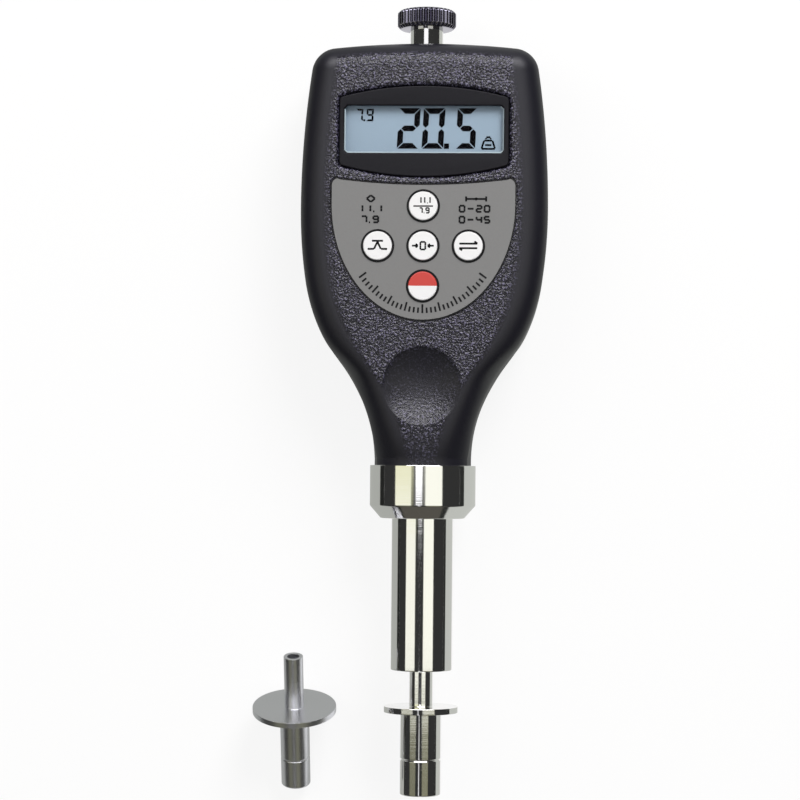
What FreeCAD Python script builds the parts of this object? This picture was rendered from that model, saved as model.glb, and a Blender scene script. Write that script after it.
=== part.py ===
"""Hand-held fruit hardness tester: a plunger on a sprung rod, a guide tube, and a two-shell casing.

Millimetres. The tester lies on its back: +Z is the outward normal of its front face, +Y points along
its rod towards the thumb screw, and X is across it. The pieces are laid out with y = 0 at the lower edge
of the casing, and save() moves them so that the origin is on the rear shell's flat face, below the cover.
"""

import FreeCAD, Part
import math
import os

V = FreeCAD.Vector

# General fits, and the number of sides of the plain bars inside
overrun = 5.0
bar_sides = 8
ring_sides = 12
cell_sides = 16
head_sides = 16
key_sides = 24
level_tolerance = 0.0005
seat_gap = 0.05
slip_gap = 0.15
slide_gap = 0.07

# Collar and guide tube
collar_radius = 14.2
collar_length = 10.8
collar_end_radius = 11.4
collar_taper = 3.4
neck_length = 9.2
tube_radius = 8.3
tube_wall = 1.5
tube_reach = 54.8
nut_radius = 11.4
nut_length = 3.2
nut_sides = 8
screw_sides = 6

# Casing
casing_length = 112.6
casing_width = 66.0
casing_depth = 28.0
neck_width = 26.0
wall = 2.2
neck_straight = 1.8
waist_share = 1.834
neck_turn_share = 0.2
shoulder_share = 2.478
hip_share = 6.39
flank_angle = 34.06
hip_angle = 8.6
side_taper = 3.831
crown_radius = 230.0
corner_radius = 6.9
front_bevel = 3.9
front_soften = 1.5
rear_edge = 3.0
inner_inset = 4.0
inner_edge = 2.6
neck_round_radius = 13.5
neck_spread_radius = 21.0
neck_spread_length = 10.0
origin_height = 32.0
axis_height = collar_radius

# Thumb dish in the front face
dish_height_share = 0.18561
dish_radius_share = 0.09236
dish_depth = 2.2

# Display
display_height_share = 0.78508
display_side_share = 0.16163
display_margin = 10.4
display_bulge = 3.1
display_recess = 1.2
display_frame_thickness = 0.9
display_frame_gap = 0.12
window_side_margin = 1.45
window_end_margin = 2.8
window_rise = 0.55
window_corner = 0.8
window_lap = 0.9
window_thickness = 1.3
glass_side_lap = 1.65
glass_end_lap = 1.9
glass_thickness = 2.6
glass_gap = 0.3
holder_wall = 1.2
strip_width = 1.9

# Keypad plate and keys
plate_margin = 8.1
plate_widest_share = 0.61279
plate_drop_share = 0.27709
plate_top_share = 0.67851
plate_sag = 1.7
plate_corner = 2.4
plate_recess = 0.5
plate_thickness = 0.4
plate_gap = 0.22
key_radius_share = 0.35849
key_gap = 0.4
key_rise = 0.6
key_flange = 0.8
key_flange_thickness = 1.0
key_flange_gap = 0.3
key_stem_radius = 2.0
key_travel = 0.5
key_pitch_share = 0.24096
key_row_share = 0.51421
key_rows_share = 0.09414
mat_thickness = 0.8
dome_radius = 2.7
dome_height = 1.1
mat_margin = 2.4

# Circuit board
board_thickness = 1.6
board_front_gap = 5.6
board_side_gap = 6.4
board_low_gap = 3.6
board_high_share = 0.87567
board_low_half_width = 16.0
board_flare_length = 16.6
board_boss_gap = 0.3
post_radius = 2.3
pilot_radius = 0.9
upper_post_side_gap = 2.2
upper_post_drop = 6.55
lower_post_gap = 0.4
lower_post_rise = 10.1
chip_height = 1.5
chip_side = 12.0
small_chip_side = 8.0
chip_spread = 14.0
chip_rise = 12.0
plug_side = 6.0

# Screws
screw_radius = 1.25
screw_head_radius = 2.5
screw_head_height = 1.6
screw_bite = 9.0
board_screw_length = 6.0
boss_radius = 3.0
upper_screw_gap = 5.4
upper_screw_share = 0.9112
lower_screw_gap = 0.8
lower_screw_share = 0.31083
head_well = 2.6

# Cells and their tray
cell_gap = 0.7
cell_end_room = 3.1
cell_play = 0.7
cell_nub_radius = 1.9
cell_nub_length = 0.8
cell_count = 4
tray_low_gap = 7.0
tray_width_share = 0.70303
tray_wall = 1.2
tray_side_gap = 1.15
thread_gap = 0.8
ledge_width = 1.6
ledge_thickness = 1.2
contact_thickness = 0.4
contact_width = 8.0
contact_height = 7.0
contact_spring_radius = 3.0

# Battery cover
cover_side_lap = 1.2
cover_end_lap = 3.0
cover_thickness = 1.7
cover_sink = 0.25
cover_corner = 2.0
tab_width = 7.0
tab_place = 9.0
tab_foot = 1.4
tab_reach = 1.6
tab_thickness = 0.9
tab_side_gap = 0.3
tab_gap_reach = 2.5
latch_width = 10.0
latch_inset = 0.6
latch_arm = 1.05
latch_height = 3.4
notch_radius = 5.0
notch_depth = 1.1
grip_rib_count = 5
grip_start = 4.0
grip_pitch = 1.8
grip_depth = 0.5

# Rod, bushes and spring
rod_radius = 3.2
rod_upper_radius = 2.6
bush_length = 10.0
bush_inset = 0.6
upper_bush_length = 7.0
piston_length = 3.0
piston_gap = 0.3
rod_travel = 7.5
spring_radius = 5.7
spring_wire = 1.8
stud_radius = 1.6
stud_length = 6.5
core_radius = 1.7
core_length = 18.6
bobbin_length = 16.0
bobbin_radius = 6.8
bobbin_hub_radius = 3.4
bobbin_flange = 1.2
winding_radius = 6.0
core_gap = 0.3
core_clearance = 3.6
saddle_half_width = 11.2
strap_width = 4.0
strap_thickness = 0.8
strap_foot = 3.4

# Measuring tips
tip_stem_radius = 3.2
tip_stem_length = 15.0
tip_gap = 9.7
tip_flange_radius = 10.0
tip_flange_thickness = 1.6
tip_radius = 5.55
tip_length = 22.1
tip_edge = 0.35
tip_bore_depth = 8.0
spare_stem_radius = 2.6
spare_stem_length = 14.5
spare_flange_radius = 11.3
spare_flange_thickness = 1.5
spare_radius = 3.95
spare_length = 21.5
spare_place_x = -34.3
spare_place_y = -66.6

# Thumb screw
knob_radius = 7.9
knob_height = 5.0
knob_tooth_count = 32
knob_tooth_depth = 0.45
knob_rise = 5.2
thumb_stem_radius = 4.5
thumb_stem_sink = 5.0
thread_radius = 2.95
thread_sink = 15.0
socket_radius = 7.0
socket_length = 7.4
socket_counterbore = 3.2
socket_block_half = 8.6
socket_lip = 0.7
ring_radius = 4.3
ring_thickness = 0.8
ring_travel = 3.0
ring_groove_depth = 0.6

parting = axis_height
rear_face = 0.0
front_face = casing_depth
front_inner = front_face - wall
board_front = front_inner - board_front_gap
board_back = board_front - board_thickness
tube_low = -tube_reach
tube_high = neck_length + nut_length + slip_gap
tube_bore = tube_radius - tube_wall
flange_top = tube_low - tip_gap
dish_height = casing_length * dish_height_share
dish_radius = casing_length * dish_radius_share
display_height = casing_length * display_height_share
display_side = casing_length * display_side_share
display_width = casing_width - display_margin * 2
window_width = display_width - window_side_margin * 2
window_height = display_side - window_end_margin * 2
glass_middle = display_height + window_rise
glass_width = window_width + glass_side_lap * 2
glass_height = window_height + glass_end_lap * 2
plate_width = casing_width - plate_margin * 2
plate_widest = casing_length * plate_widest_share
plate_drop = casing_length * plate_drop_share
plate_top = casing_length * plate_top_share
key_row = casing_length * key_row_share
key_rows_apart = casing_length * key_rows_share
key_pitch = plate_width * key_pitch_share
key_radius = key_rows_apart * key_radius_share
mat_half_width = key_pitch + dome_radius + mat_margin
tray_high = casing_length - thread_sink - thread_gap - tray_wall
tray_width = casing_width * tray_width_share
cell_pitch = (tray_width - tray_side_gap * 2 + cell_gap) / cell_count
cell_radius = (cell_pitch - cell_gap) / 2
tray_ceiling = cover_sink + cover_thickness + cell_play + cell_radius * 2 + slip_gap
cover_width = tray_width + cover_side_lap * 2
cover_high = tray_high + cover_end_lap
piston_low = tube_low + bush_inset + bush_length
upper_bush_low = tube_high - upper_bush_length
core_low = tube_high + core_clearance
bobbin_low = core_low + rod_travel + slip_gap
bobbin_high = bobbin_low + bobbin_length
thread_hole = stud_radius + seat_gap
tray_low = bobbin_high + tray_wall + tray_low_gap
cell_length = tray_high - tray_low - cell_end_room
cover_low = tray_low - cover_end_lap
board_half_width = casing_width / 2 - board_side_gap
board_low = bobbin_high + board_low_gap
board_shoulder = board_low + board_flare_length
board_high = casing_length * board_high_share
holder_low = glass_middle - glass_height / 2 - holder_wall
upper_post = (board_half_width - upper_post_side_gap, holder_low - upper_post_drop)
lower_post = (mat_half_width + post_radius + lower_post_gap, board_low + lower_post_rise)
board_post_places = (upper_post, lower_post)
upper_screw = (socket_block_half + boss_radius + upper_screw_gap, casing_length * upper_screw_share)
lower_screw = (saddle_half_width + boss_radius + lower_screw_gap, casing_length * lower_screw_share)
case_screw_places = (upper_screw, lower_screw)


def block(x0, x1, y0, y1, z0, z1):
    """A box between two corners."""
    return Part.makeBox(x1 - x0, y1 - y0, z1 - z0, V(x0, y0, z0))


def along(radius, y0, y1, x=0.0, z=axis_height):
    """A round bar along Y, on the rod's axis unless told otherwise."""
    return Part.makeCylinder(radius, y1 - y0, V(x, y0, z), V(0, 1, 0))


def faceted(radius, sides, start, direction, length):
    """A bar with flat sides: screw_sidesal, octagonal and so on."""
    across = V(0, 0, 1) if direction.z == 0 else V(1, 0, 0)
    beside = direction.cross(across)
    points = []
    for step in range(sides):
        angle = math.pi * (2 * step + 1) / sides
        points.append(start + (across * math.cos(angle) + beside * math.sin(angle)) * radius)
    return Part.Face(Part.makePolygon(points + points[:1])).extrude(direction * length)


def peg(radius, sides, x, y, z0, z1):
    """A flat-sided bar along Z."""
    return faceted(radius, sides, V(x, y, z0), V(0, 0, 1), z1 - z0)


def bar(radius, sides, y0, y1):
    """A flat-sided bar on the rod's axis."""
    return faceted(radius, sides, V(0, y0, axis_height), V(0, 1, 0), y1 - y0)


def flat_ring(outer, inner, sides, y0, y1):
    """A flat-sided ring on the rod's axis whose hole clears a round bar of the inner radius."""
    hole = bar(inner / math.cos(math.pi / sides), sides, y0 - overrun, y1 + overrun)
    return bar(outer, sides, y0, y1).cut(hole)


def turned(profile, height=axis_height):
    """A turned piece: the closed profile of (radius, y) points, spun about the rod's axis."""
    points = [V(radius, y, 0) for radius, y in profile]
    body = Part.Face(Part.makePolygon(points + points[:1])).revolve(V(0, 0, 0), V(0, 1, 0), 360)
    body.translate(V(0, 0, height))
    return body


def sleeve(outer, inner, y0, y1):
    """A plain ring or tube on the rod's axis."""
    return along(outer, y0, y1).cut(along(inner, y0 - overrun, y1 + overrun))


def fused(shapes):
    """All the shapes in one."""
    body = shapes[0]
    for shape in shapes[1:]:
        body = body.fuse(shape)
    return body


def walk(start, heading, radius, turn):
    """An arc that leaves start at a heading, in degrees from +Y towards +X, and bends by turn."""
    side = math.copysign(1.0, turn)
    across = math.radians(heading)
    centre = start + V(math.cos(across), -math.sin(across), 0) * radius * side

    def at(angle):
        aim = math.radians(angle)
        return centre - V(math.cos(aim), -math.sin(aim), 0) * radius * side

    end = at(heading + turn)
    return Part.Arc(start, at(heading + turn / 2), end).toShape(), end


def corner_centre(radius, first, first_radius, second, second_radius):
    """Centre of an arc that lies inside two arcs and touches both, on their right-hand upper side."""
    near = first_radius - radius
    far = second_radius - radius
    apart = (second - first).Length
    along_line = (near * near - far * far + apart * apart) / (2 * apart)
    off_line = math.sqrt(near * near - along_line * along_line)
    unit = (second - first) * (1 / apart)
    normal = V(-unit.y, unit.x, 0)
    places = [first + unit * along_line + normal * off_line * side for side in (1, -1)]
    return max(places, key=lambda place: place.x + place.y)


def right_outline(inset):
    """Right half of the casing's outline, from the neck to the crown, as tangent arcs and lines."""
    gain = (casing_width - neck_width) / 2
    flank = math.radians(flank_angle)
    hip = math.radians(hip_angle)
    arcs_share = waist_share * (1 - math.cos(flank)) + hip_share * (1 - math.cos(hip))
    arcs_share += shoulder_share * (math.cos(hip) - math.cos(flank))
    flank_length = gain * (1 - arcs_share) / math.sin(flank)
    start = V(neck_width / 2 - inset, 0, 0)
    bend = V(start.x, neck_straight, 0)
    edges = [Part.LineSegment(start, bend).toShape()]
    waist_radius = waist_share * gain + inset
    neck_turn = flank_angle * neck_turn_share
    neck_arc, middle = walk(bend, 0, waist_radius, neck_turn)
    waist, low = walk(middle, neck_turn, waist_radius, flank_angle - neck_turn)
    high = low + V(math.sin(flank), math.cos(flank), 0) * flank_length
    shoulder, hip_start = walk(high, flank_angle, shoulder_share * gain - inset, hip_angle - flank_angle)
    hip_arc, widest = walk(hip_start, hip_angle, hip_share * gain - inset, -hip_angle)
    edges += [neck_arc, waist, Part.LineSegment(low, high).toShape(), shoulder, hip_arc]
    upper_radius = (casing_length - widest.y) ** 2 / (2 * side_taper)
    side_centre = V(casing_width / 2 - upper_radius, widest.y, 0)
    crown_centre = V(0, casing_length - crown_radius, 0)
    corner = corner_centre(corner_radius, side_centre, upper_radius, crown_centre, crown_radius)
    to_side = (corner - side_centre).normalize()
    to_crown = (corner - crown_centre).normalize()
    side_point = side_centre + to_side * (upper_radius - inset)
    crown_point = crown_centre + to_crown * (crown_radius - inset)
    between = (to_side + to_crown).normalize()
    turn = math.degrees(math.asin(to_side.y))
    edges.append(walk(widest, 0, upper_radius - inset, -turn)[0])
    edges.append(Part.Arc(side_point, corner + between * (corner_radius - inset), crown_point).toShape())
    return edges, start, crown_point


def casing_prism(inset, low, high):
    """The casing's outline, drawn in by inset, as an upright prism between two levels."""
    right, start, crown_point = right_outline(inset)
    left = [edge.mirror(V(0, 0, 0), V(1, 0, 0)) for edge in right]
    base = Part.LineSegment(V(-start.x, start.y, 0), start).toShape()
    top = V(0, casing_length - inset, 0)
    crown = Part.Arc(crown_point, top, V(-crown_point.x, crown_point.y, 0)).toShape()
    wire = Part.Wire(Part.__sortEdges__(right + left + [base, crown]))
    body = Part.Face(wire).extrude(V(0, 0, high - low))
    body.translate(V(0, 0, low))
    return body


def rim_edges(body, level):
    """Edges of the prism at one level, without the straight one across the neck's end."""
    found = []
    for edge in body.Edges:
        box = edge.BoundBox
        level_edge = max(abs(box.ZMin - level), abs(box.ZMax - level)) < level_tolerance
        across_end = max(box.YLength, abs(box.YMin)) < level_tolerance
        if level_edge and not across_end:
            found.append(edge)
    return found


def neck_envelope():
    """Solid of revolution that rounds the neck where it meets the collar, and all of the room above it."""
    release = neck_straight + neck_spread_length
    profile = [
        (0, -overrun), (neck_round_radius, -overrun), (neck_round_radius, neck_straight),
        (neck_spread_radius, release), (0, release),
    ]
    above = block(-casing_width, casing_width, release, casing_length + overrun, -casing_width, casing_width)
    return turned(profile).fuse(above)


def casing_form():
    """The casing's outer body: front edges rounded in three strips, bevelled rear edges, round neck."""
    body = casing_prism(0, rear_face, front_face)
    body = body.makeChamfer(front_bevel, rim_edges(body, front_face))
    sharp = rim_edges(body, front_face) + rim_edges(body, front_face - front_bevel)
    body = body.makeChamfer(front_soften, sharp)
    body = body.makeChamfer(rear_edge, rim_edges(body, rear_face))
    return body.common(neck_envelope())


def casing_hollow():
    """The room inside the casing: straight walls that follow the outline, and bevelled edges."""
    low, high = rear_face + wall, front_inner
    edges = right_outline(inner_inset)[0]
    ends = [edge.valueAt(edge.LastParameter) for edge in edges]
    right = [point for point in ends if point.y > neck_length]
    middle = V(0, casing_length - inner_inset, 0)
    left = [V(-point.x, point.y, 0) for point in reversed(right)]
    first = V(neck_width / 2 - inner_inset, neck_length, 0)
    points = [first] + right + [middle] + left + [V(-first.x, first.y, 0)]
    body = Part.Face(Part.makePolygon(points + points[:1])).extrude(V(0, 0, high - low))
    body.translate(V(0, 0, low))
    return body.makeChamfer(inner_edge, rim_edges(body, low) + rim_edges(body, high))


def dish_ball():
    """Ball that hollows the thumb dish, with its poles at the sides, away from the dish."""
    ball_radius = (dish_radius ** 2 + dish_depth ** 2) / (2 * dish_depth)
    centre = V(0, dish_height, front_face - dish_depth + ball_radius)
    return Part.makeSphere(ball_radius, centre, V(1, 0, 0))


def barrel(margin, low, high):
    """The display's outline, straight at the sides and bowed above and below, as a plate."""
    half = display_width / 2 + margin
    side = display_side / 2 + margin
    crest = side + display_bulge
    corners = [V(half, -side, 0), V(half, side, 0), V(-half, side, 0), V(-half, -side, 0)]
    edges = [Part.LineSegment(corners[0], corners[1]).toShape(),
             Part.Arc(corners[1], V(0, crest, 0), corners[2]).toShape(),
             Part.LineSegment(corners[2], corners[3]).toShape(),
             Part.Arc(corners[3], V(0, -crest, 0), corners[0]).toShape()]
    body = Part.Face(Part.Wire(edges)).extrude(V(0, 0, high - low))
    body.translate(V(0, display_height, low))
    return body


def window_plate(margin, low, high):
    """The window's outline, a rectangle with cut corners, as a plate."""
    half = window_width / 2 + margin
    tall = window_height / 2 + margin
    short_half, short_tall = half - window_corner, tall - window_corner
    points = []
    for right, up in ((1, -1), (1, 1), (-1, 1), (-1, -1)):
        pair = [V(right * half, up * short_tall, 0), V(right * short_half, up * tall, 0)]
        points += pair if right * up > 0 else pair[::-1]
    body = Part.Face(Part.makePolygon(points + points[:1])).extrude(V(0, 0, high - low))
    body.translate(V(0, glass_middle, low))
    return body


def shield(margin, low, high):
    """The keypad plate's outline: a half ellipse below, a sagging edge and round corners above."""
    half = plate_width / 2 + margin
    drop = plate_drop + margin
    top = plate_top + margin
    if drop > half:
        bowl = Part.Arc(Part.Ellipse(V(0, -drop, 0), V(half, 0, 0), V(0, 0, 0)), -math.pi / 2, math.pi / 2)
    else:
        bowl = Part.Arc(Part.Ellipse(V(half, 0, 0), V(0, drop, 0), V(0, 0, 0)), math.pi, math.pi * 2)
    bowl = bowl.toShape()
    bowl.translate(V(0, plate_widest, 0))
    ends = sorted((vertex.Point for vertex in bowl.Vertexes), key=lambda point: point.x)
    left, right = ends
    upper_right = V(right.x, top, 0)
    upper_left = V(left.x, top, 0)
    edges = [bowl, Part.LineSegment(right, upper_right).toShape(),
             Part.Arc(upper_right, V(0, top - plate_sag, 0), upper_left).toShape(),
             Part.LineSegment(upper_left, left).toShape()]
    wire = Part.Wire(Part.__sortEdges__(edges))
    body = Part.Face(wire).extrude(V(0, 0, high - low))
    body.translate(V(0, 0, low))
    upright = [edge for edge in body.Edges if edge.BoundBox.ZLength > (high - low) / 2]
    corners = [edge for edge in upright if edge.CenterOfMass.y > plate_widest + plate_corner]
    return body.makeFillet(plate_corner + margin, corners)


def key_places():
    """Name and place of each of the five keys."""
    return {
        "key_tip_size": (0.0, key_row + key_rows_apart),
        "key_maximum": (-key_pitch, key_row),
        "key_zero": (0.0, key_row),
        "key_unit": (key_pitch, key_row),
        "key_power": (0.0, key_row - key_rows_apart),
    }


def key_holes(sides, low, high):
    """Holes that the keys pass through, round enough for the number of sides."""
    return fused([peg(key_radius + key_gap, sides, x, y, low, high) for x, y in key_places().values()])


def neck_bore():
    """Hole in the neck for the guide tube, with a pocket at its inner end that keeps the nut from turning."""
    bore = along(tube_radius + seat_gap, -overrun, neck_length + seat_gap)
    return bore.fuse(bar(nut_radius + slip_gap, nut_sides, neck_length, neck_length + nut_length + slip_gap))


def thumb_seat():
    """Block inside the casing's top that holds the thumb screw's socket."""
    inner_top = casing_length - wall
    low = inner_top - socket_length - socket_lip
    return block(-socket_block_half, socket_block_half, low, inner_top + wall / 2,
                 axis_height - socket_block_half, axis_height + socket_block_half)


def thumb_passage():
    """Hole for the thumb screw: a round mouth, the socket's pocket, and room for the ring below it."""
    inner_top = casing_length - wall
    pocket_low = inner_top - socket_length
    mouth = along(thumb_stem_radius + slip_gap, inner_top - slip_gap, casing_length + overrun)
    pocket = bar(socket_radius + seat_gap, ring_sides, pocket_low, inner_top)
    return fused([mouth, pocket, along(ring_radius + slip_gap, pocket_low - overrun, pocket_low + slip_gap)])


def half_space(front):
    """Everything in front of the parting plane, or behind it."""
    low, high = (parting, casing_depth + overrun) if front else (-overrun, parting)
    return block(-casing_width, casing_width, -overrun, casing_length + overrun, low, high)


def paired(places):
    """Each place and its mirror image."""
    return [(x * side, y) for x, y in places for side in (1, -1)]


def front_shell(form, hollow):
    """Front half of the casing with the places for display, keypad and thumb, posts and screw bosses."""
    backing = peg(dish_radius, bar_sides, 0, dish_height, front_inner - dish_depth, front_face)
    room = hollow.cut(backing).cut(thumb_seat())
    high = front_inner + wall / 2
    bosses = [peg(boss_radius, bar_sides, x, y, parting, high) for x, y in paired(case_screw_places)]
    posts = [peg(post_radius, bar_sides, x, y, board_front, high) for x, y in paired(board_post_places)]
    room = room.cut(fused(bosses + posts).common(form))
    body = form.cut(room).common(half_space(True))
    body = body.cut(neck_bore()).cut(thumb_passage()).cut(dish_ball())
    for x, y in paired(case_screw_places):
        body = body.cut(peg(pilot_radius, screw_sides, x, y, parting - overrun, parting + screw_bite))
    for x, y in paired(board_post_places):
        body = body.cut(peg(pilot_radius, screw_sides, x, y, board_front - overrun, front_inner))
    body = body.cut(barrel(0, front_face - display_recess, front_face + overrun))
    body = body.cut(window_plate(window_lap + slip_gap, front_inner - overrun, front_face))
    body = body.cut(shield(0, front_face - plate_recess, front_face + overrun))
    return body.cut(key_holes(head_sides, front_inner - overrun, front_face + overrun))


def cover_outline(margin, low, high):
    """Rectangle of the battery cover, as a plate with round corners."""
    half = cover_width / 2 + margin
    body = block(-half, half, cover_low - margin, cover_high + margin, low, high)
    upright = [edge for edge in body.Edges if edge.BoundBox.ZLength > (high - low) / 2]
    return body.makeFillet(cover_corner, upright)


def cell_tray():
    """Box open to the back that holds the cells, with ledges beside the cover and gaps for its tabs."""
    half = tray_width / 2
    edge = cover_width / 2 + ledge_width
    low_end, high_end = tray_low - tray_wall, tray_high + tray_wall
    body = block(-half - tray_wall, half + tray_wall, low_end, high_end, wall, tray_ceiling + tray_wall)
    body = body.fuse(block(-edge, edge, low_end, high_end, wall, wall + ledge_thickness))
    body = body.cut(block(-half, half, tray_low, tray_high, rear_face, tray_ceiling))
    for side in (1, -1):
        middle = tab_place * side
        reach = tab_width / 2 + tab_side_gap
        body = body.cut(block(middle - reach, middle + reach, tray_high - tab_gap_reach,
                              tray_high + tab_gap_reach, rear_face, tab_reach + wall + tab_thickness))
    return body


def rear_shell(form, hollow):
    """Rear half of the casing with the cells' tray, the screw columns and the collar's seat."""
    places = paired(case_screw_places)
    columns = [peg(boss_radius, bar_sides, x, y, rear_face + wall / 2, parting) for x, y in places]
    room = hollow.cut(thumb_seat()).cut(fused(columns))
    body = form.cut(room).common(half_space(False))
    body = body.cut(neck_bore()).cut(thumb_passage())
    body = body.cut(cover_outline(slip_gap, rear_face - overrun, wall))
    body = body.fuse(cell_tray())
    for x, y in places:
        body = body.cut(peg(screw_radius + slip_gap, screw_sides, x, y, -overrun, parting + overrun))
        body = body.cut(peg(screw_head_radius + slip_gap, head_sides, x, y, -overrun, head_well))
    notch_start = V(-latch_width / 2, cover_low - slip_gap, rear_face - notch_radius + notch_depth)
    return body.cut(Part.makeCylinder(notch_radius, latch_width, notch_start, V(1, 0, 0)))


def battery_cover():
    """Flat cover with two hooked tabs at its upper end, a latch arm at its lower end and grip grooves."""
    low = rear_face + cover_sink
    high = low + cover_thickness
    body = cover_outline(0, low, high)
    hook_low = wall + slip_gap
    foot_high = cover_high - slip_gap
    for side in (1, -1):
        left = tab_place * side - tab_width / 2
        foot = block(left, left + tab_width, foot_high - tab_foot, foot_high, low, hook_low + tab_thickness)
        hook = block(left, left + tab_width, foot_high - tab_foot, foot_high + tab_reach,
                     hook_low, hook_low + tab_thickness)
        body = body.fuse(foot).fuse(hook)
    arm_low = cover_low + latch_inset
    arm_high = arm_low + latch_arm
    body = body.fuse(block(-latch_width / 2, latch_width / 2, arm_low, arm_high, low, wall + latch_height))
    for step in range(grip_rib_count):
        y = cover_low + grip_start + grip_pitch * (step + 1)
        groove = block(-latch_width, latch_width, y, y + grip_pitch / 2, low - overrun, low + grip_depth)
        body = body.cut(groove)
    return body


def cell(index):
    """One cell; neighbours point opposite ways."""
    x = cell_pitch * (index - (cell_count - 1) / 2)
    z = tray_ceiling - slip_gap - cell_radius
    up = index % 2 == 0
    start = tray_low + contact_thickness if not up else tray_high - contact_thickness - cell_length
    can_low = start if up else start + cell_nub_length
    nub = faceted(cell_nub_radius, bar_sides, V(x, start, z), V(0, 1, 0), cell_length)
    can = faceted(cell_radius, cell_sides, V(x, can_low, z), V(0, 1, 0), cell_length - cell_nub_length)
    return can.fuse(nub)


def contact_springs():
    """A contact spring at the flat end of each cell, as its outer shape."""
    springs = []
    room = cell_end_room - contact_thickness * 2
    z = tray_ceiling - slip_gap - cell_radius
    for index in range(cell_count):
        x = cell_pitch * (index - (cell_count - 1) / 2)
        up = index % 2 == 0
        wide = V(x, tray_low + contact_thickness, z) if up else V(x, tray_high - contact_thickness, z)
        springs.append(faceted(contact_spring_radius, bar_sides, wide, V(0, 1 if up else -1, 0), room))
    return Part.makeCompound(springs)


def contact_plates():
    """Metal plates at both ends of the tray, one behind each end of each cell."""
    plates = []
    z = tray_ceiling - slip_gap - cell_radius
    for index in range(cell_count):
        x = cell_pitch * (index - (cell_count - 1) / 2)
        for low in (tray_low, tray_high - contact_thickness):
            plates.append(block(x - contact_width / 2, x + contact_width / 2, low, low + contact_thickness,
                                z - contact_height / 2, z + contact_height / 2))
    return Part.makeCompound(plates)


def display_frame():
    """Smooth bezel that lies in the display's recess, with the window's opening."""
    low = front_face - display_recess
    body = barrel(-display_frame_gap, low, low + display_frame_thickness)
    return body.cut(window_plate(0, low - overrun, front_face + overrun))


def display_window():
    """Clear pane behind the bezel."""
    high = front_face - display_recess
    return window_plate(window_lap, high - window_thickness, high)


def glass_box(margin, low, high):
    """Block on the display's middle with the size of the display glass and a margin."""
    half = glass_width / 2 + margin
    tall = glass_height / 2 + margin
    return block(-half, half, glass_middle - tall, glass_middle + tall, low, high)


def glass_levels():
    """Back and front of the display glass."""
    high = front_face - display_recess - window_thickness - glass_gap
    return high - glass_thickness, high


def display_glass():
    """The liquid crystal cell."""
    low, high = glass_levels()
    return glass_box(0, low, high)


def display_holder():
    """Frame that locates the display glass on the board."""
    low, high = glass_levels()
    body = glass_box(holder_wall, board_front, high - slip_gap)
    return body.cut(glass_box(slip_gap, board_front - overrun, high + overrun))


def contact_strips():
    """Rubber contact strips under the long edges of the display glass."""
    low, high = glass_levels()
    strips = []
    for side in (1, -1):
        y = glass_middle + side * (glass_height - strip_width) / 2
        strips.append(block(-glass_width / 2, glass_width / 2, y - strip_width / 2, y + strip_width / 2,
                            board_front, low))
    return Part.makeCompound(strips)


def display_backing():
    """Diffuser between the contact strips, behind the display glass."""
    low, high = glass_levels()
    return glass_box(-strip_width - slip_gap, board_front, low)


def keypad_plate():
    """Thin shield-shaped plate around the keys."""
    low = front_face - plate_recess
    holes = key_holes(key_sides, low - overrun, front_face + overrun)
    return shield(-plate_gap, low, low + plate_thickness).cut(holes)


def key(x, y):
    """A key: cap with many flat sides, an octagonal flange that keeps it in, and a stem."""
    cap_low = front_inner - key_flange_gap
    cap = peg(key_radius, key_sides, x, y, cap_low, front_face + key_rise)
    flange_radius = key_radius + key_gap + key_flange
    flange = peg(flange_radius, bar_sides, x, y, cap_low - key_flange_thickness, cap_low)
    dome_top = board_front + mat_thickness + dome_height
    stem = peg(key_stem_radius, bar_sides, x, y, dome_top + key_travel + seat_gap, cap_low)
    return fused([cap, flange, stem])


def key_mat():
    """Rubber mat on the board with a dome under each key."""
    half = mat_half_width
    reach = key_rows_apart + dome_radius + mat_margin / 2
    top = board_front + mat_thickness
    body = block(-half, half, key_row - reach / 2, key_row + reach / 2, board_front, top)
    body = body.fuse(block(-half / 2, half / 2, key_row - reach, key_row + reach, board_front, top))
    for x, y in key_places().values():
        body = body.fuse(peg(dome_radius, ring_sides, x, y, top, top + dome_height))
    return body


def circuit_board():
    """Board with a narrower lower end, with holes for its screws and room for the casing's."""
    points = [(board_low_half_width, board_low), (board_half_width, board_shoulder),
              (board_half_width, board_high)]
    points += [(-x, y) for x, y in reversed(points)]
    corners = [V(x, y, board_back) for x, y in points]
    body = Part.Face(Part.makePolygon(corners + corners[:1])).extrude(V(0, 0, board_thickness))
    low, high = board_back - overrun, board_front + overrun
    for x, y in paired(board_post_places):
        body = body.cut(peg(screw_radius + slip_gap, screw_sides, x, y, low, high))
    for x, y in paired(case_screw_places):
        body = body.cut(peg(boss_radius + board_boss_gap, bar_sides, x, y, low, high))
    return body


def board_chips():
    """Processor, amplifier and memory on the back of the board, and the sensor's socket."""
    chips = [
        (0, display_height, chip_side), (-chip_spread, display_height, small_chip_side),
        (chip_spread, key_row + chip_rise, small_chip_side), (0, (board_low + board_shoulder) / 2, plug_side),
    ]
    return Part.makeCompound([
        block(x - side / 2, x + side / 2, y - side / 2, y + side / 2, board_back - chip_height, board_back)
        for x, y, side in chips
    ])


def case_screws():
    """Screws that pull the rear shell onto the front shell's bosses."""
    low = head_well - screw_head_height
    high = parting + screw_bite - slip_gap
    return Part.makeCompound([
        fused([peg(screw_head_radius, head_sides, x, y, low, head_well),
               peg(pilot_radius - seat_gap, screw_sides, x, y, low, high)])
        for x, y in paired(case_screw_places)
    ])


def board_screws():
    """Screws that hold the board to the front shell's posts."""
    return Part.makeCompound([
        plain_screw(x, y, board_back, screw_head_height, screw_head_radius, board_screw_length, False)
        for x, y in paired(board_post_places)
    ])


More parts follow.
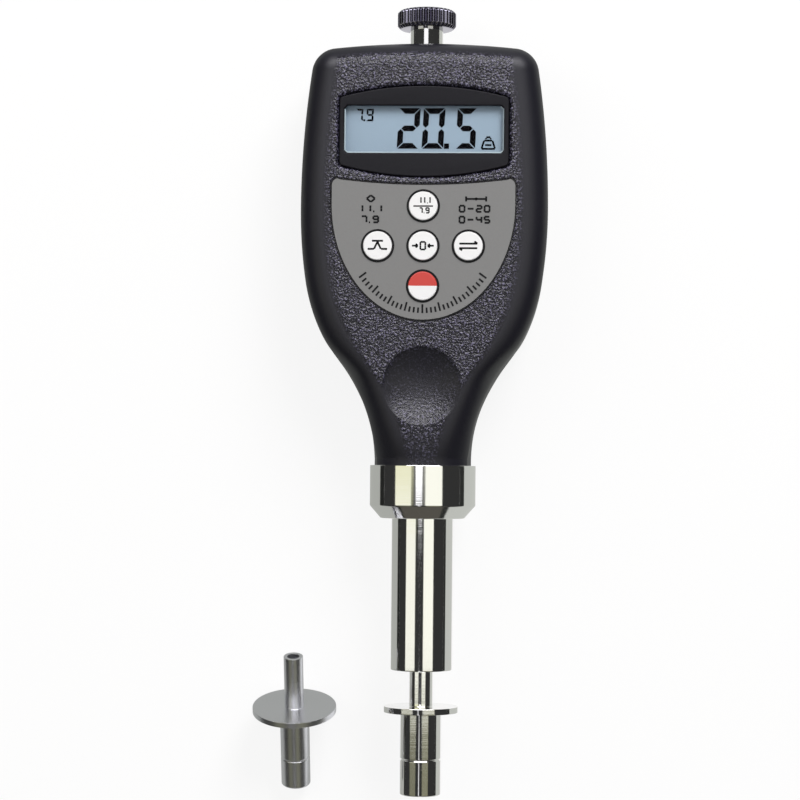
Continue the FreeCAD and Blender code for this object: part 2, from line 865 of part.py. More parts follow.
def collar():
    """Polished collar round the guide tube, with a tapered lower end."""
    bore = tube_radius + seat_gap
    low = -collar_length - collar_taper
    return turned([
        (bore, low), (collar_end_radius, low), (collar_radius, -collar_length), (collar_radius, 0), (bore, 0),
    ])


def guide_tube():
    """Long polished tube that the rod slides in."""
    return sleeve(tube_radius, tube_bore, tube_low, tube_high)


def tube_nut():
    """Thin nut that holds the guide tube inside the casing."""
    return flat_ring(nut_radius, tube_radius + seat_gap, nut_sides, neck_length, neck_length + nut_length)


def lower_bush():
    """Bush at the mouth of the guide tube, which the tip's stem and the rod slide in."""
    low = tube_low + bush_inset
    body = bar(tube_bore - seat_gap, ring_sides, low, low + bush_length)
    return body.cut(along(rod_radius + slide_gap, low - overrun, low + bush_length + overrun))


def upper_bush():
    """Bush at the top of the guide tube, which the load spring pushes against."""
    inner = rod_upper_radius + slide_gap
    return flat_ring(tube_bore - seat_gap, inner, ring_sides, upper_bush_low, tube_high)


def probe_rod():
    """Rod with its piston, a thinner upper end, and the stud that the measuring tip screws onto."""
    low = flange_top + tip_stem_length
    return fused([
        bar(stud_radius, bar_sides, low - stud_length, low),
        along(rod_radius, low, piston_low),
        bar(tube_bore - piston_gap, ring_sides, piston_low, piston_low + piston_length),
        along(rod_upper_radius, piston_low + piston_length, core_low),
    ])


def load_spring():
    """The load spring's outer shape, between the piston and the upper bush."""
    low = piston_low + piston_length
    return flat_ring(spring_radius, spring_radius - spring_wire, bar_sides, low, upper_bush_low)


def sensor_core():
    """Iron core on the upper end of the rod."""
    return bar(core_radius, bar_sides, core_low, core_low + core_length)


def sensor_bobbin():
    """Spool round the core that carries the position coil, with square ends."""
    half = bobbin_radius
    ends = [block(-half, half, low, low + bobbin_flange, axis_height - half, axis_height + half)
            for low in (bobbin_low, bobbin_high - bobbin_flange)]
    hub = flat_ring(bobbin_hub_radius, core_radius + core_gap, bar_sides, bobbin_low, bobbin_high)
    hole = bar(bobbin_hub_radius - bobbin_flange / 2, bar_sides, bobbin_low - overrun, bobbin_high + overrun)
    return fused([end.cut(hole) for end in ends] + [hub])


def sensor_winding():
    """The coil's copper, as its outer shape."""
    return flat_ring(winding_radius, bobbin_hub_radius, bar_sides, bobbin_low + bobbin_flange,
                     bobbin_high - bobbin_flange)


def saddle_top():
    """Level of the saddle's upper face, which the strap's feet lie on."""
    return axis_height - bobbin_hub_radius / 2


def sensor_saddle():
    """Cradle on the rear shell that the spool lies in."""
    width, top = saddle_half_width, saddle_top()
    body = block(-width, width, bobbin_low, bobbin_high, rear_face + wall, top)
    half = bobbin_radius + seat_gap
    body = body.cut(block(-half, half, bobbin_low - overrun, bobbin_high + overrun,
                          axis_height - half, axis_height))
    for x, y in strap_screw_places():
        body = body.cut(peg(pilot_radius, screw_sides, x, y, top - board_screw_length, top + overrun))
    return body


def strap_screw_places():
    """Places of the two screws through the strap's feet."""
    middle = (bobbin_low + bobbin_high) / 2
    x = saddle_half_width - strap_foot / 2
    return [(x, middle), (-x, middle)]


def sensor_strap():
    """Sheet-metal strap over the coil, with a foot at each side."""
    middle = (bobbin_low + bobbin_high) / 2
    low, high = middle - strap_width / 2, middle + strap_width / 2
    level = saddle_top()
    inner = winding_radius + seat_gap
    outer = inner + strap_thickness
    bow = block(-outer, outer, low, high, level, axis_height + outer)
    bow = bow.cut(block(-inner, inner, low, high, level, axis_height + inner))
    left_foot = block(-saddle_half_width, -inner, low, high, level, level + strap_thickness)
    right_foot = block(inner, saddle_half_width, low, high, level, level + strap_thickness)
    body = fused([bow, left_foot, right_foot])
    for x, y in strap_screw_places():
        body = body.cut(peg(pilot_radius, screw_sides, x, y, level - overrun, level + overrun))
    return body


def plain_screw(x, y, seat, head_height, head_radius, reach, up):
    """A small hexagon-headed screw along Z; its head stands on the seat and its shank goes through it."""
    sign = 1 if up else -1
    head = faceted(head_radius, screw_sides, V(x, y, seat), V(0, 0, sign), head_height)
    shank = faceted(pilot_radius - seat_gap, screw_sides, V(x, y, seat), V(0, 0, -sign), reach)
    return head.fuse(shank)


def strap_screws():
    """Screws through the strap's feet into the saddle."""
    level = saddle_top() + strap_thickness
    return Part.makeCompound([
        plain_screw(x, y, level, screw_head_height / 2, strap_foot / 2, board_screw_length, True)
        for x, y in strap_screw_places()
    ])


def tip(stem_radius, stem_length, flange_radius, flange_thickness, radius, length):
    """A measuring tip, turned in one: stem with a threaded hole, guard flange and plunger."""
    flange_high = length + flange_thickness
    top = flange_high + stem_length
    return turned([
        (0, 0), (radius - tip_edge, 0), (radius, tip_edge), (radius, length), (flange_radius, length),
        (flange_radius, flange_high), (stem_radius, flange_high), (stem_radius, top), (thread_hole, top),
        (thread_hole, top - tip_bore_depth), (0, top - tip_bore_depth),
    ], 0)


def measuring_tip():
    """The tip on the tester."""
    body = tip(tip_stem_radius, tip_stem_length, tip_flange_radius, tip_flange_thickness,
               tip_radius, tip_length)
    body.translate(V(0, flange_top - tip_flange_thickness - tip_length, axis_height))
    return body


def spare_tilt():
    """Angle at which the spare tip lies on its flange and its plunger's edge, in degrees."""
    return math.degrees(math.atan2(spare_flange_radius - spare_radius, spare_length - tip_edge))


def spare_tip():
    """The smaller tip, which lies beside the tester on its flange and the edge of its plunger."""
    body = tip(spare_stem_radius, spare_stem_length, spare_flange_radius, spare_flange_thickness,
               spare_radius, spare_length)
    tilt = spare_tilt()
    body.translate(V(0, -spare_length, 0))
    body.rotate(V(0, 0, 0), V(1, 0, 0), tilt)
    height = spare_flange_radius * math.cos(math.radians(tilt))
    body.translate(V(spare_place_x, spare_place_y, height))
    return body


def thumb_levels():
    """Underside of the knob, end of the thick stem and end of the thread."""
    under = casing_length + knob_rise
    return under, casing_length - thumb_stem_sink, casing_length - thread_sink


def thumb_knob():
    """Knurled head: a toothed disc with its stem fixed to its underside."""
    low = thumb_levels()[0]
    points = []
    for step in range(knob_tooth_count * 2):
        angle = math.pi * step / knob_tooth_count
        radius = knob_radius - (knob_tooth_depth if step % 2 else 0)
        points.append(V(radius * math.cos(angle), low, radius * math.sin(angle) + axis_height))
    return Part.Face(Part.makePolygon(points + points[:1])).extrude(V(0, knob_height, 0))


def thumb_stem():
    """Steel stem: a round shoulder that shows above the casing and a thread with a groove for its ring."""
    under, shoulder, end = thumb_levels()
    ring_low = thumb_ring_low()
    groove_low = ring_low - seat_gap
    groove_high = ring_low + ring_thickness + seat_gap
    groove = thread_radius - ring_groove_depth
    return fused([
        bar(thread_radius, ring_sides, end, groove_low),
        bar(groove, ring_sides, groove_low, groove_high),
        bar(thread_radius, ring_sides, groove_high, shoulder),
        along(thumb_stem_radius, shoulder, under),
    ])


def thumb_ring_low():
    """Lower face of the ring on the thumb screw's thread."""
    return casing_length - wall - socket_length - ring_travel - ring_thickness - slip_gap


def thumb_ring():
    """Ring in the groove of the thread, which keeps the thumb screw from coming right out."""
    low = thumb_ring_low()
    groove = thread_radius - ring_groove_depth
    return flat_ring(ring_radius, groove + slide_gap, bar_sides, low, low + ring_thickness)


def thumb_socket():
    """Threaded steel socket, octagonal outside, in the casing's top."""
    low, high = casing_length - wall - socket_length, casing_length - wall - slip_gap
    step = high - socket_counterbore
    body = flat_ring(socket_radius, thread_radius + slide_gap, ring_sides, low, step)
    return body.fuse(flat_ring(socket_radius, thumb_stem_radius + slide_gap, ring_sides, step, high))


def save(name, shape):
    """Moves a piece so that the origin is on the rear shell's flat face, and writes its STEP file."""
    placed = shape.copy()
    placed.translate(V(0, -origin_height, 0))
    placed.exportStep(os.path.join("parts", name + ".step"))
    print(name, "solids", len(placed.Solids), "valid", placed.isValid(), "volume", round(placed.Volume, 1))


def build():
    """Every piece by its name."""
    form = casing_form()
    hollow = casing_hollow()
    pieces = {
        "front_shell": front_shell(form, hollow),
        "rear_shell": rear_shell(form, hollow),
        "battery_cover": battery_cover(),
        "contact_springs": contact_springs(),
        "contact_plates": contact_plates(),
        "display_frame": display_frame(),
        "display_window": display_window(),
        "display_glass": display_glass(),
        "display_holder": display_holder(),
        "display_backing": display_backing(),
        "contact_strips": contact_strips(),
        "keypad_plate": keypad_plate(),
        "key_mat": key_mat(),
        "circuit_board": circuit_board(),
        "board_chips": board_chips(),
        "case_screws": case_screws(),
        "board_screws": board_screws(),
        "collar": collar(),
        "guide_tube": guide_tube(),
        "tube_nut": tube_nut(),
        "lower_bush": lower_bush(),
        "upper_bush": upper_bush(),
        "probe_rod": probe_rod(),
        "load_spring": load_spring(),
        "sensor_core": sensor_core(),
        "sensor_bobbin": sensor_bobbin(),
        "sensor_winding": sensor_winding(),
        "sensor_saddle": sensor_saddle(),
        "sensor_strap": sensor_strap(),
        "strap_screws": strap_screws(),
        "measuring_tip": measuring_tip(),
        "spare_tip": spare_tip(),
        "thumb_knob": thumb_knob(),
        "thumb_stem": thumb_stem(),
        "thumb_ring": thumb_ring(),
        "thumb_socket": thumb_socket(),
    }
    for index in range(cell_count):
        pieces["battery_" + str(index + 1)] = cell(index)
    for name, (x, y) in key_places().items():
        pieces[name] = key(x, y)
    return pieces


os.makedirs("parts", exist_ok=True)
for piece_name, piece_shape in build().items():
    save(piece_name, piece_shape)
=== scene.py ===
"""Looks of a hand-held fruit hardness tester that lies on its back beside its spare tip.

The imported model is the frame. Smooth surfaces worked out with numpy stand for its visible nodes, and the
nodes inside get materials. Shapes are worked out in casing millimetres: x across, y up from the casing's
lower edge and z up from its rear face. to_frame turns them into the row frame's metres.
"""

import math
import bmesh
import bpy
import numpy as np
from mathutils import Matrix, Vector


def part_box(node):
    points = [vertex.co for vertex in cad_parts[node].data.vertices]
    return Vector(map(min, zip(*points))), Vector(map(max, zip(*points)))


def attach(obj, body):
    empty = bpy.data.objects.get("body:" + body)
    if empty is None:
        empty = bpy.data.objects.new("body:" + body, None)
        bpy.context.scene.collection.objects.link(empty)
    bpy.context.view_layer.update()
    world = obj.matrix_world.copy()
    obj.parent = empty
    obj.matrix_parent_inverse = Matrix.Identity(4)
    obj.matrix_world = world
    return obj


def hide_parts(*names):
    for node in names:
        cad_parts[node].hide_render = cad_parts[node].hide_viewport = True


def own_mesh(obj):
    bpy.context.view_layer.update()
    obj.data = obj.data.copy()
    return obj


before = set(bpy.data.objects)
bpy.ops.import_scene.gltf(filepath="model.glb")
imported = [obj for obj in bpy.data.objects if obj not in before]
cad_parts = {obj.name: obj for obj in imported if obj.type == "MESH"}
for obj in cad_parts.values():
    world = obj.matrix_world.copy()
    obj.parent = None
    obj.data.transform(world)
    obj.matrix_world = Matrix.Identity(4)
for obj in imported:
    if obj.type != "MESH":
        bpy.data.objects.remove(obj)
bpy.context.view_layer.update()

bl_info = {
    "name": "Fruit Hardness Tester",
    "version": (1, 0, 0),
    "blender": (4, 5, 0),
    "location": "View3D > Sidebar > Tester",
    "description": "Builds the surfaces, finishes and studio of a hand-held fruit hardness tester",
    "category": "Add Mesh",
}

MM = 0.001
# Casing height of the row frame's origin
ORIGIN = 32.0
SHELL_LOW, SHELL_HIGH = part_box("front_shell")
SEAM_Z = SHELL_LOW.z / MM
AXIS_Z = sum(corner.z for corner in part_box("collar")) / 2 / MM
ROD = (0.0, 0.0, AXIS_Z)
# Turns of a piece that is made round the Y axis
UPRIGHT = Matrix.Rotation(math.pi / 2, 3, "X")
SIDEWAYS = Matrix.Rotation(math.pi / 2, 3, "Z")


def length_setting(name, description, default):
    """A length in metres."""
    return bpy.props.FloatProperty(name=name, description=description, default=default, unit="LENGTH")


def colour_setting(name, description, default):
    """A colour in linear values."""
    return bpy.props.FloatVectorProperty(
        name=name, description=description, default=default, subtype="COLOR", size=3, min=0.0, max=1.0)


def number_setting(name, description, default, **limits):
    """A plain number."""
    return bpy.props.FloatProperty(name=name, description=description, default=default, **limits)


class CasingSettings(bpy.types.PropertyGroup):
    """Sizes and colours of the casing."""

    length: length_setting("Length", "Height of the casing along the rod", SHELL_HIGH.y - SHELL_LOW.y)
    width: length_setting("Width", "Greatest width of the casing", SHELL_HIGH.x - SHELL_LOW.x)
    depth: length_setting("Depth", "From the rear face to the front face", SHELL_HIGH.z)
    neck_width: length_setting("Neck width", "Width of the casing's lower end", 26.0 * MM)
    edge_radius: length_setting("Edge radius", "Radius of the front edges", 6.2 * MM)
    rear_edge: length_setting("Rear bevel", "Bevel of the rear edges", 3.0 * MM)
    grain_colour: colour_setting("Grain", "Colour of the grained face", (0.0059, 0.0053, 0.011))
    # Bright specks: partly the grain's own flecks, partly painted glints of the grain catching the light.
    speck_and_glint_colour: colour_setting("Specks", "Colour of the grain's bright specks", (0.185, 0.173, 0.27))
    smooth_colour: colour_setting("Smooth rim", "Colour of the smooth rim", (0.0067, 0.0063, 0.0125))


class DisplaySettings(bpy.types.PropertyGroup):
    """Sizes and colours of the display."""

    crystal_colour: colour_setting("Crystal", "Colour of the liquid crystal", (0.37, 0.495, 0.62))
    ink_colour: colour_setting("Segments", "Colour of the dark segments", (0.002, 0.002, 0.003))
    slant: number_setting("Slant", "Sideways lean of the digits, per unit of height", 0.05)


class KeypadSettings(bpy.types.PropertyGroup):
    """Sizes and colours of the keypad."""

    plate_colour: colour_setting("Plate", "Colour of the keypad plate", (0.205, 0.205, 0.203))
    key_colour: colour_setting("Keys", "Colour of the white keys", (0.85, 0.85, 0.85))
    power_colour: colour_setting("Power key", "Colour of the power key's upper half", (0.58, 0.042, 0.03))
    key_radius: length_setting("Key radius", "Radius of a key's cap", 3.8 * MM)


class MetalSettings(bpy.types.PropertyGroup):
    """Colours and smoothness of the metal pieces."""

    chrome_colour: colour_setting("Chrome", "Colour of the polished pieces", (0.84, 0.84, 0.825))
    steel_colour: colour_setting("Steel", "Colour of the brushed spare tip", (0.72, 0.725, 0.755))
    chrome_roughness: number_setting(
        "Chrome roughness", "Roughness of the polished pieces", 0.09, min=0.0, max=1.0)
    turning_segments: bpy.props.IntProperty(
        name="Turning segments", description="Steps round a turned piece", default=160, min=16)


class StudioSettings(bpy.types.PropertyGroup):
    """Floor, lamps and camera."""

    floor_colour: colour_setting("Floor", "Colour of the floor", (0.96, 0.96, 0.96))
    left_power: number_setting("Left lamp", "Power of the left soft lamp in watts", 4.0)
    right_power: number_setting("Right lamp", "Power of the upper right soft lamp in watts", 11.6)
    world_level: number_setting("Fill", "Level of the even light from all round", 0.34)
    reflected_level: number_setting("Reflected level", "Level of the surroundings in reflections", 0.035)
    camera_distance: length_setting("Camera distance", "From the rod's axis to the camera", 0.64075)
    camera_lens: number_setting("Lens", "Focal length in millimetres on a 36 mm sensor", 107.1)


# Shapes

def to_frame(points):
    """Row-frame metres of casing millimetres."""
    return (np.asarray(points, float) - [0.0, ORIGIN, 0.0]) * MM


def from_frame(points):
    """Casing millimetres of row-frame metres."""
    return np.asarray(points, float) / MM + [0.0, ORIGIN, 0.0]


def directions(vectors):
    """The vectors' directions, each of length 1."""
    tiny = 1e-12
    return vectors / np.maximum(np.linalg.norm(vectors, axis=-1, keepdims=True), tiny)


def new_object(name, data):
    """A new object in the scene."""
    piece = bpy.data.objects.new(name, data)
    bpy.context.scene.collection.objects.link(piece)
    return piece


def add_object(name, mesh, finish, slot=None, node=None, body="tester"):
    """Puts a mesh into the scene. A piece with a slot also rides on its body and replaces its node."""
    mesh.name = name
    mesh.materials.append(finish)
    piece = new_object(name, mesh)
    if slot:
        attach(piece, body)
        if node:
            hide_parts(node)
    return piece


def grid_mesh(points, wrap_rows=False, wrap_columns=False, caps=0, angle=32.0):
    """Mesh of a two-parameter grid: points[i, j] joined to its neighbours in both directions.

    A wrapped direction closes on itself. One cap closes the first row with a flat face, and two close the
    last as well. Doubles are merged, faces turned outwards, and all but the edges sharper than the angle
    are smooth."""
    rows, columns = points.shape[:2]
    index = np.arange(rows * columns).reshape(rows, columns)
    if wrap_rows:
        index = np.vstack([index, index[:1]])
    if wrap_columns:
        index = np.hstack([index, index[:, :1]])
    corners = [index[:-1, :-1], index[1:, :-1], index[1:, 1:], index[:-1, 1:]]
    faces = np.stack(corners, axis=-1).reshape(-1, 4).tolist()
    row = np.arange(columns)
    faces += [row[::-1].tolist(), (row + (rows - 1) * columns).tolist()][:caps]
    mesh = bpy.data.meshes.new("surface")
    mesh.from_pydata(to_frame(points).reshape(-1, 3).tolist(), [], faces)
    double, sliver = 2e-7, 1e-8
    work = bmesh.new()
    work.from_mesh(mesh)
    bmesh.ops.remove_doubles(work, verts=work.verts, dist=double)
    bmesh.ops.dissolve_degenerate(work, edges=work.edges, dist=sliver)
    bmesh.ops.recalc_face_normals(work, faces=work.faces)
    work.to_mesh(mesh)
    work.free()
    mesh.shade_smooth()
    mesh.set_sharp_from_angle(angle=math.radians(angle))
    return mesh


def rounded(profile, radius, steps=5):
    """Profile with each inner corner replaced by a curve: for t from 0 to 1 the point is
    (1 - t)^2 A + 2 t (1 - t) P + t^2 B, where P is the corner and A, B lie radius away along its two sides,
    though no further than a share of them. One more point just outside A and B keeps the flats beside the
    curve flat in their shading."""
    longest, outside = 0.45, 1.08
    profile = np.asarray(profile, float)
    corner = profile[1:-1]
    ends = []
    for side in (profile[:-2] - corner, profile[2:] - corner):
        size = np.linalg.norm(side, axis=1)[:, None]
        ends.append(side / size * np.minimum(radius, size * longest))
    t = np.linspace(0.0, 1.0, steps)[None, :, None]
    near, far = corner + ends[0], corner + ends[1]
    bend = (1 - t) ** 2 * near[:, None] + 2 * t * (1 - t) * corner[:, None] + t ** 2 * far[:, None]
    first, last = [(corner + end * outside)[:, None] for end in ends]
    bend = np.concatenate([first, bend, last], axis=1)
    return np.vstack([profile[:1], bend.reshape(-1, 2), profile[-1:]])


def turned_mesh(profile, soft=0.0, segments=None, angle=28.0, shift=ROD, turn=None):
    """Surface of revolution about Y: (r, y) runs along the profile, with its corners drawn round over the
    soft length. The point is (r sin a, y, r cos a), turned about the origin by a matrix and shifted."""
    segments = segments or bpy.context.scene.tester_metal.turning_segments
    outline = rounded(profile, soft) if soft else np.asarray(profile, float)
    a = np.linspace(0.0, 2 * math.pi, segments, endpoint=False)[:, None]
    r, y = outline.T[:, None]
    points = np.stack([r * np.sin(a), y + 0 * a, r * np.cos(a)], axis=-1)
    if turn is not None:
        points = points @ np.array(turn).T
    return grid_mesh(points + shift, wrap_rows=True, angle=angle)


def bar_mesh(radius, low, high, shift=ROD, turn=None, segments=96):
    """Plain round bar between two levels of its axis, as a cutter or a pin."""
    profile = [(0, low), (radius, low), (radius, high), (0, high)]
    return turned_mesh(profile, segments=segments, shift=shift, turn=turn)


def coil_mesh(radius, wire, low, high, turns):
    """Coil spring along Y: a circle of the wire's radius w is carried along (R cos a, y, R sin a), where a
    runs through all the turns and y from low + w to high - w. The point is c + w (cos b N + sin b B), with N
    straight out from the axis and B square to N and to the path."""
    steps_a_turn, steps_round = 32, 12
    share = np.linspace(0.0, 1.0, turns * steps_a_turn + 1)[:, None]
    a = 2 * math.pi * turns * share
    rise = high - low - 2 * wire
    centre = np.concatenate([radius * np.cos(a), low + wire + rise * share, radius * np.sin(a)], axis=1)
    out = np.concatenate([np.cos(a), 0 * a, np.sin(a)], axis=1)
    pitch = rise / (2 * math.pi * turns)
    along = np.concatenate([-radius * np.sin(a), pitch + 0 * a, radius * np.cos(a)], axis=1)
    side = np.cross(directions(along), out)
    b = np.linspace(0.0, 2 * math.pi, steps_round, endpoint=False)[None, :, None]
    points = centre[:, None] + wire * (np.cos(b) * out[:, None] + np.sin(b) * side[:, None])
    return grid_mesh(points + ROD, wrap_columns=True, caps=2)


def prism_mesh(outline, low, high, bevel=0.0, flare=0.0):
    """Upright prism over a closed outline of (x, y) points.

    The outline is drawn in by a quarter circle of the bevel's radius at its upper edge, or spread by one of
    the flare's radius: each point moves along the mean normal of its two sides. One more row just outside
    the bevel keeps the flats beside it flat in their shading."""
    outside, steps = 1.15, 7
    outline = np.asarray(outline, float)
    side = np.roll(outline, -1, axis=0) - outline
    normal = directions(np.stack([side[:, 1], -side[:, 0]], axis=1))
    normal = directions(normal + np.roll(normal, 1, axis=0))
    area = np.sum(outline[:, 0] * side[:, 1] - side[:, 0] * outline[:, 1])
    normal *= math.copysign(1.0, area)
    turn = np.linspace(0.0, math.pi / 2, steps)
    if flare:
        curve = zip(flare * (1.0 - np.cos(turn)), high - flare + flare * np.sin(turn))
        rings = [(0.0, low), *curve, (flare, high + flare)]
    elif bevel:
        curve = zip(bevel * (np.cos(turn) - 1.0), high - bevel + bevel * np.sin(turn))
        rings = [(0.0, low), (0.0, high - bevel * outside), *curve, (-bevel * outside, high)]
    else:
        rings = [(0.0, low), (0.0, high)]
    move, level = np.array(rings).T[..., None, None]
    flat = outline[None] + normal[None] * move
    points = np.concatenate([flat, np.broadcast_to(level, flat.shape[:2] + (1,))], axis=-1)
    return grid_mesh(points, wrap_columns=True, caps=2)


def plates_mesh(ring, low, high):
    """Flat plates between two levels, each over a closed ring of six (x, y) points in ring[plate, corner]."""
    levels = [np.concatenate([ring, np.full(ring.shape[:2] + (1,), z)], axis=-1) for z in (low, high)]
    points = np.concatenate(levels, axis=1).reshape(-1, 3)
    base = np.arange(len(ring))[:, None] * 12
    step = np.arange(6)
    following = (step + 1) % 6
    walls = np.stack([base + step, base + following, base + following + 6, base + step + 6], axis=-1)
    faces = walls.reshape(-1, 4).tolist() + (base + step[::-1]).tolist() + (base + step + 6).tolist()
    mesh = bpy.data.meshes.new("plates")
    mesh.from_pydata(to_frame(points).tolist(), [], faces)
    mesh.update()
    return mesh


def strokes_mesh(strokes, width, low, high, pointed=0.1):
    """Flat strokes: each (x0, y0, x1, y1) is a hexagonal plate as wide as the width, whose ends are drawn to
    a point over the pointed share of the width."""
    start, end = np.asarray(strokes, float).reshape(-1, 2, 2).transpose(1, 0, 2)
    run = directions(end - start)
    side = np.stack([-run[:, 1], run[:, 0]], axis=1) * width / 2
    tip = run * width * pointed
    ring = [start, start + tip - side, end - tip - side, end, end - tip + side, start + tip + side]
    return plates_mesh(np.stack(ring, axis=1), low, high)


def band_mesh(outer, inner, low, high):
    """Flat closed band between two outlines of as many points, from the low to the high level."""
    loops = [np.column_stack([line, np.full(len(line), level)])
             for line, level in ((outer, low), (outer, high), (inner, high), (inner, low))]
    return grid_mesh(np.array(loops), wrap_rows=True, wrap_columns=True)


def circle_outline(radius, x, y, steps=96):
    """Circle: (x + r cos a, y + r sin a)."""
    a = np.linspace(0.0, 2 * math.pi, steps, endpoint=False)
    return np.stack([x + radius * np.cos(a), y + radius * np.sin(a)], axis=1)


def cut(mesh, cutters, angle=15.0):
    """The mesh with the cutters' volumes taken away, through Boolean modifiers that are then made real.

    Edges sharper than the angle stay sharp."""
    made = [new_object("cut_shape", shape) for shape in [mesh] + cutters]
    for tool in made[1:]:
        modifier = made[0].modifiers.new("cut", "BOOLEAN")
        modifier.operation = "DIFFERENCE"
        modifier.solver = "EXACT"
        modifier.object = tool
    bpy.context.view_layer.update()
    depsgraph = bpy.context.evaluated_depsgraph_get()
    result = bpy.data.meshes.new_from_object(made[0].evaluated_get(depsgraph))
    for piece in made:
        bpy.data.objects.remove(piece)
    result.shade_smooth()
    result.set_sharp_from_angle(angle=math.radians(angle))
    return result


# Segments of a digit: a top, b and c right side, d bottom, e and f left side, g middle
DIGIT_SEGMENTS = {
    "0": "abcdef", "1": "bc", "2": "abged", "4": "fgbc", "5": "afgcd", "7": "abc", "9": "abcdfg",
}


def printed_digits(*numbers, size):
    """Strokes of printed digits for each number's text, left end and foot, in a (width, height, pitch)."""
    w, h, pitch = size
    m = h / 2
    lines = {"a": (0, h, w, h), "b": (w, h, w, m), "c": (w, m, w, 0), "d": (0, 0, w, 0), "e": (0, m, 0, 0),
             "f": (0, h, 0, m), "g": (0, m, w, m)}
    return [np.array(lines[part]) + [left + place * pitch, low] * 2 for text, left, low in numbers
            for place, sign in enumerate(text) for part in DIGIT_SEGMENTS[sign]]


def crystal_digits(text, left, low, width, height, stroke, pitch, gap, slant):
    """Six-cornered plates of liquid crystal digits: each segment is as wide as the stroke, mitred where it
    meets its neighbours, with a fine gap between them, and leans by the slant per unit of height."""
    w, h, t, m, q = width, height, stroke, height / 2, stroke / 2

    def flipped(ring):
        return (np.array(ring) * [1, -1] + [0, h])[::-1]

    def mirrored(ring):
        return (np.array(ring) * [-1, 1] + [w, 0])[::-1]

    top = [(gap, h), (t + gap, h - t), (w - t - gap, h - t), (w - gap, h), (w / 2, h), (w / 3, h)]
    right = [(w, h - gap), (w - t, h - t - gap), (w - t, m + q + gap), (w - q, m + gap), (w, m + q + gap),
             (w, h - t)]
    middle = [(q + gap, m), (t + gap, m - q), (w - t - gap, m - q), (w - q - gap, m), (w - t - gap, m + q),
              (t + gap, m + q)]
    shapes = {"a": top, "b": right, "c": flipped(right), "d": flipped(top), "e": mirrored(flipped(right)),
              "f": mirrored(right), "g": middle}
    rings = np.array([np.array(shapes[part]) + [place * pitch, 0.0]
                      for place, sign in enumerate(text) for part in DIGIT_SEGMENTS[sign]])
    rings[..., 0] += left + rings[..., 1] * slant
    rings[..., 1] += low
    return rings


# Casing

# Radii of the waist, shoulder and hip, as shares of the width gained above the neck
WAIST_SHARE, SHOULDER_SHARE, HIP_SHARE = 1.834, 2.478, 6.39
FLANK_TURN, HIP_TURN = math.radians(34.06), math.radians(8.6)
SIDE_RADIUS, CROWN_RADIUS, CORNER_RADIUS = 257.3, 230.0, 6.9
NECK_STRAIGHT = 1.8
# The neck's round limit: its radius, its slope, and the parabola that lets the casing go above a height
NECK_ROUND, NECK_SLOPE = 14.0, 7.0 / 24.0
NECK_RELEASE, NECK_SPREAD = 21.0, 0.052
NECK_BLEND = 24.0
# Step at the seam: how far each point lies in from the side and away from the seam
SEAM_STEP = np.array([(0.35, 0.0), (0.12, 0.05), (0.0, 0.2)])

# Middles of the keys
KEY_PLACES = {"tip_size": (0.0, 68.5), "maximum": (-12.0, 57.9), "zero": (0.0, 57.9), "unit": (12.0, 57.9),
              "power": (0.0, 47.3)}
KEY_HOLE = 4.2
# Height of the display recess's middle, bulge of its edges, and height of the window's middle
RECESS_CENTRE, RECESS_BULGE, WINDOW_CENTRE = 88.4, 3.1, 88.95
DISH_CENTRE, DISH_RADIUS, DISH_DEPTH = 20.9, 10.4, 2.2
SCREW_PLACES = [(x * side, y) for x, y in ((17.0, 102.6), (15.0, 35.0)) for side in (1, -1)]


def arc_points(start, heading, radius, turn, count):
    """Points and outward normals of an arc that leaves start at a heading (from +Y towards +X) and bends by
    turn: the point is c - s R (cos h, -sin h), where c is the centre, s the side and h the heading there."""
    side = math.copysign(1.0, turn)
    centre = start + np.array([math.cos(heading), -math.sin(heading)]) * radius * side
    aim = heading + turn * np.linspace(0.0, 1.0, count)
    across = np.stack([np.cos(aim), -np.sin(aim)], axis=1)
    return centre - across * radius * side, across


